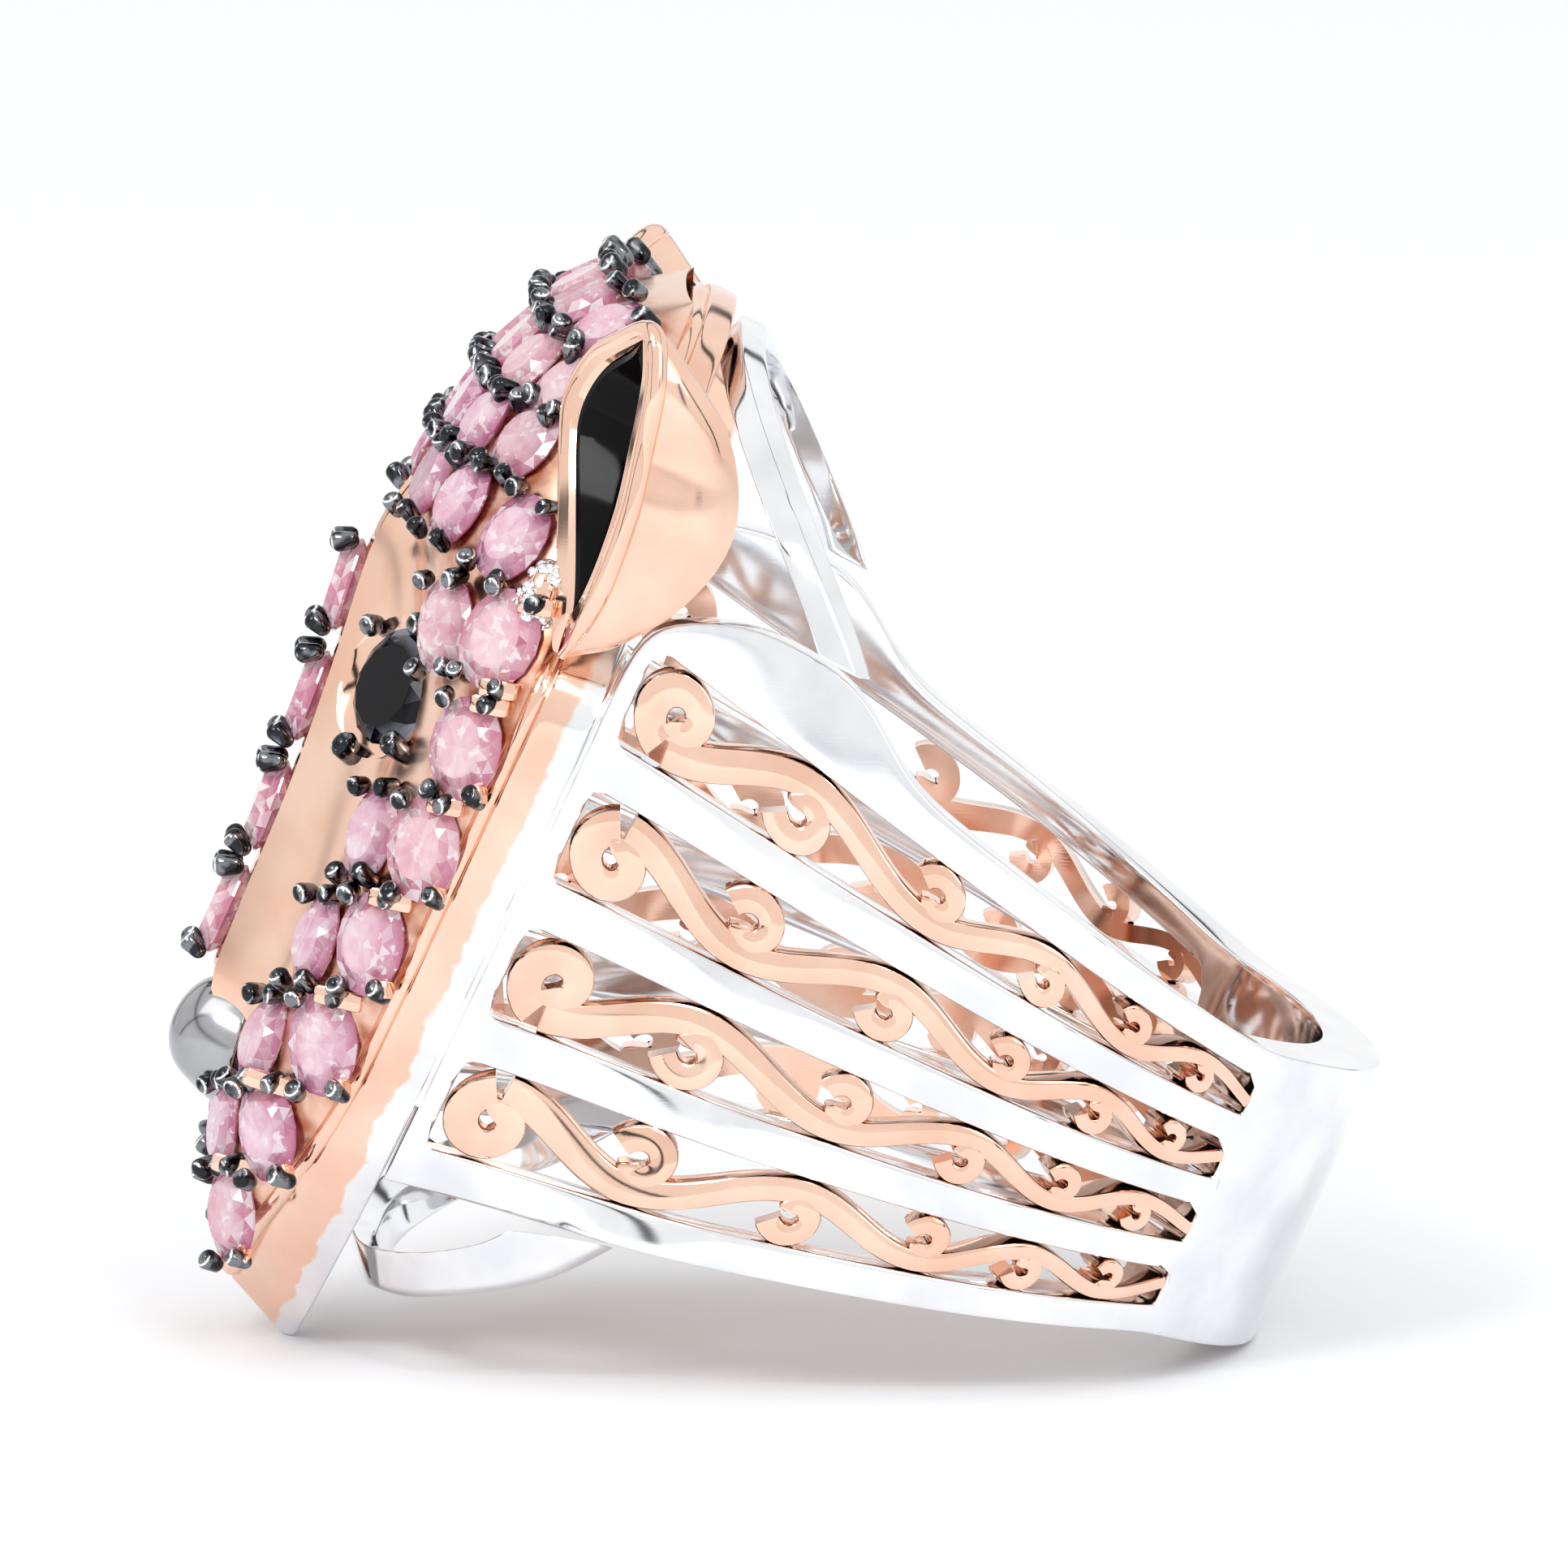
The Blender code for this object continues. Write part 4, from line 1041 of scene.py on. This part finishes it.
def makeEyeCup(pose, sideName):
    # an oval collar round the stone, drawn in towards the face
    bpy.ops.mesh.primitive_circle_add(vertices=eyeCup["sides"], radius=0.5, fill_type="NGON")
    piece = bpy.context.object
    piece.name = f"eyeCup_{sideName}"
    bpy.ops.object.mode_set(mode="EDIT")
    bpy.ops.mesh.select_all(action="SELECT")
    bpy.ops.transform.resize(value=(eyeCup["taper"], eyeCup["taper"], 1), center_override=(0, 0, 0))
    bpy.ops.transform.translate(value=(0, 0, -eyeCup["deep"]))
    rise = eyeCup["deep"] + eyeCup["height"]
    bpy.ops.mesh.extrude_region_move(TRANSFORM_OT_translate={"value": (0, 0, rise)})
    grow = eyeCup["rim"] / eyeCup["taper"]
    bpy.ops.transform.resize(value=(grow, grow, 1), center_override=(0, 0, eyeCup["height"]))
    bpy.ops.mesh.inset(thickness=eyeCup["wall"])
    bpy.ops.transform.translate(value=(0, 0, -eyeCup["hollow"]))
    bpy.ops.mesh.select_all(action="SELECT")
    bpy.ops.mesh.normals_make_consistent(inside=False)
    bpy.ops.object.mode_set(mode="OBJECT")
    piece.data.transform(poseMatrix(pose))
    piece.data.materials.append(finish["roseGold"])
    smooth(piece, 40)
    keep(piece, "rose_gold")


for side, sideName in bothSides:
    makeFlank(side, sideName)
    makeEyeCup(poses[f"eye_{sideName}"], sideName)
print("muzzle sides and eye cups are set")


# claws that hold the stones

claw = {
    "radius": 0.225, "spread": 34, "reach": 1.03, "lean": 26, "top": 0.6, "bend": 1.25,
    "eyeRadius": 0.27, "eyeSpread": 30, "eyeReach": 1.0,
    # the next line's last two values place the painted highlight band on each bead
    "stem": 1.4, "stemWidth": 0.82, "stemStart": -0.1, "bare": 0.59, "bareWidth": 0.2,
}


def makeClaw():
    # a bullet-shaped bead: a ball whose lower half is drawn down to a stem
    bpy.ops.mesh.primitive_uv_sphere_add(segments=12, ring_count=10, radius=1)
    piece = bpy.context.object
    piece.name = "clawPattern"
    bpy.ops.object.mode_set(mode="EDIT")
    bpy.ops.mesh.select_mode(type="VERT")
    bpy.ops.mesh.select_all(action="DESELECT")
    bpy.ops.object.mode_set(mode="OBJECT")
    for vertex in piece.data.vertices:
        vertex.select = vertex.co.z < claw["stemStart"]
    bpy.ops.object.mode_set(mode="EDIT")
    bpy.ops.transform.translate(value=(0, 0, -claw["stem"]))
    bpy.ops.transform.resize(value=(claw["stemWidth"], claw["stemWidth"], 1), center_override=(0, 0, 0))
    bpy.ops.object.mode_set(mode="OBJECT")
    # a band round the bead's shoulder that carries the claws' painted highlight
    tip = piece.data.attributes.new("tip", "FLOAT", "POINT")
    for vertex in piece.data.vertices:
        tip.data[vertex.index].value = max(0, 1 - abs(vertex.co.z - claw["bare"]) / claw["bareWidth"])
    piece.data.materials.append(finish["gunmetal"])
    smooth(piece, 60)
    return piece


clawPattern = makeClaw()


def clawSpots(pose, spread=claw["spread"], reach=claw["reach"]):
    # the four places round a stone's girdle, as steps from its base point
    turn = math.radians(spread)
    ahead = pose["along"] * (math.cos(turn) * pose["length"] / 2)
    aside = pose["across"] * (math.sin(turn) * pose["width"] / 2)
    return [(ahead * a + aside * b) * reach for a in (1, -1) for b in (1, -1)]


def clawsOf(pose, radius, spots):
    made = []
    for flat in spots:
        size = radius * chance.uniform(0.9, 1.1) * mm
        inward = -flat.normalized()
        lean = math.radians(claw["lean"])
        up = (pose["normal"] * math.cos(lean) + inward * math.sin(lean)).normalized()
        x = (inward - up * inward.dot(up)).normalized()
        y = up.cross(x)
        origin = pose["base"] + flat + pose["normal"] * (claw["top"] * pose["height"])
        stretch = basis(x * size * claw["bend"], y * size, up * size, origin)
        made.append(placedCopy(clawPattern, "claw", stretch))
    return made


groups = {}
for name, pose in poses.items():
    if name.startswith("eye"):
        made = clawsOf(pose, claw["eyeRadius"], clawSpots(pose, claw["eyeSpread"], claw["eyeReach"]))
    else:
        made = clawsOf(pose, claw["radius"], clawSpots(pose))
    parts = name.replace("stone_", "").split("_")
    key = "_".join(parts[:2]) if parts[1] in ("left", "right") else parts[0]
    groups.setdefault(key, []).extend(made)
for key, made in groups.items():
    keep(joined(made, f"claws_{key}"), "black_rhodium")
print("claws are set")


# rose-gold posts from the rim up to the outer claws

post = {"thick": 0.46, "deep": 0.42, "rise": 0.25, "rimOut": 12.95, "side": 0.25, "bevel": 0.16, "top": 0.25}


def makePost():
    bpy.ops.mesh.primitive_cube_add(size=1, location=(0, 0, 0.5))
    piece = bpy.context.object
    piece.name = "postPattern"
    bpy.ops.object.mode_set(mode="EDIT")
    bpy.ops.mesh.select_all(action="SELECT")
    bpy.ops.mesh.bevel(offset=post["bevel"], segments=2, affect="EDGES", clamp_overlap=True)
    bpy.ops.object.mode_set(mode="OBJECT")
    piece.data.materials.append(finish["roseGold"])
    smooth(piece, 40)
    return piece


postPattern = makePost()
for side, sideName in bothSides:
    made = []
    for k in range(1, 8):
        pose = poses[f"stone_outer_{sideName}_{k}"]
        for flat in clawSpots(pose):
            if flat.x * side < 0:
                continue
            head = pose["base"] + flat + pose["normal"] * (post["top"] * pose["height"])
            offset = head - ringCentre
            up = offset.dot(alongFinger) / mm
            across = offset.x / mm + side * post["side"]
            foot = ringPlace(across, post["rimOut"] + chinDrop(up), up + post["rise"])
            z = foot - head
            y = z.cross(alongFinger).normalized()
            x = y.cross(z.normalized())
            stretch = basis(x * post["thick"] * mm, y * post["deep"] * mm, z, head)
            made.append(placedCopy(postPattern, "post", stretch))
    keep(joined(made, f"rimPosts_{sideName}"), "rose_gold")
print("rim posts are set")

# bright grains raised in the corner between the ear and the outer stones

grain = {"count": 80, "bed": (8.4, 13.8, 6.8), "size": (0.48, 0.5, 0.85), "radius": (0.1, 0.2)}
bpy.ops.mesh.primitive_ico_sphere_add(subdivisions=2, radius=1)
grainPattern = bpy.context.object
grainPattern.data.materials.append(finish["silver"])
smooth(grainPattern, 60)
bpy.ops.mesh.primitive_uv_sphere_add(segments=20, ring_count=12, radius=1)
bedPattern = bpy.context.object
bedPattern.data.materials.append(finish["roseGold"])
smooth(bedPattern, 60)
for side, sideName in bothSides:
    middle = ringPlace(side * grain["bed"][0], grain["bed"][1], grain["bed"][2])
    half = [part * mm for part in grain["size"]]
    stretch = basis(sideways * half[0], outward * half[1], alongFinger * half[2], middle)
    made = [placedCopy(bedPattern, "grainBed", stretch)]
    for k in range(grain["count"]):
        size = chance.uniform(*grain["radius"]) * mm
        way = Vector((chance.gauss(0, 1), chance.gauss(0, 1), chance.gauss(0, 1))).normalized()
        spot = Matrix.Translation(stretch @ way) @ Matrix.Scale(size, 4)
        made.append(placedCopy(grainPattern, "grain", spot))
    keep(joined(made, f"earGrains_{sideName}"), "polished_silver")
print("grains are set")

for pattern in (pinkPattern, eyePattern, clawPattern, postPattern, grainPattern, bedPattern):
    bpy.data.objects.remove(pattern, do_unlink=True)


# painted copper shade in the seats under the stones

seat = {"reach": 1.95, "fade": 0.75}
centres = [pose["base"] for pose in poses.values()]
values = []
for vertex in faceShell.data.vertices:
    near = min((vertex.co - centre).length for centre in centres) / mm
    values.append(1 - eased(near, seat["reach"] - seat["fade"], seat["reach"]))
seatShade = faceShell.data.attributes.new("seat", "FLOAT", "POINT")
seatShade.data.foreach_set("value", values)

bpy.context.scene.view_settings.view_transform = "Standard"
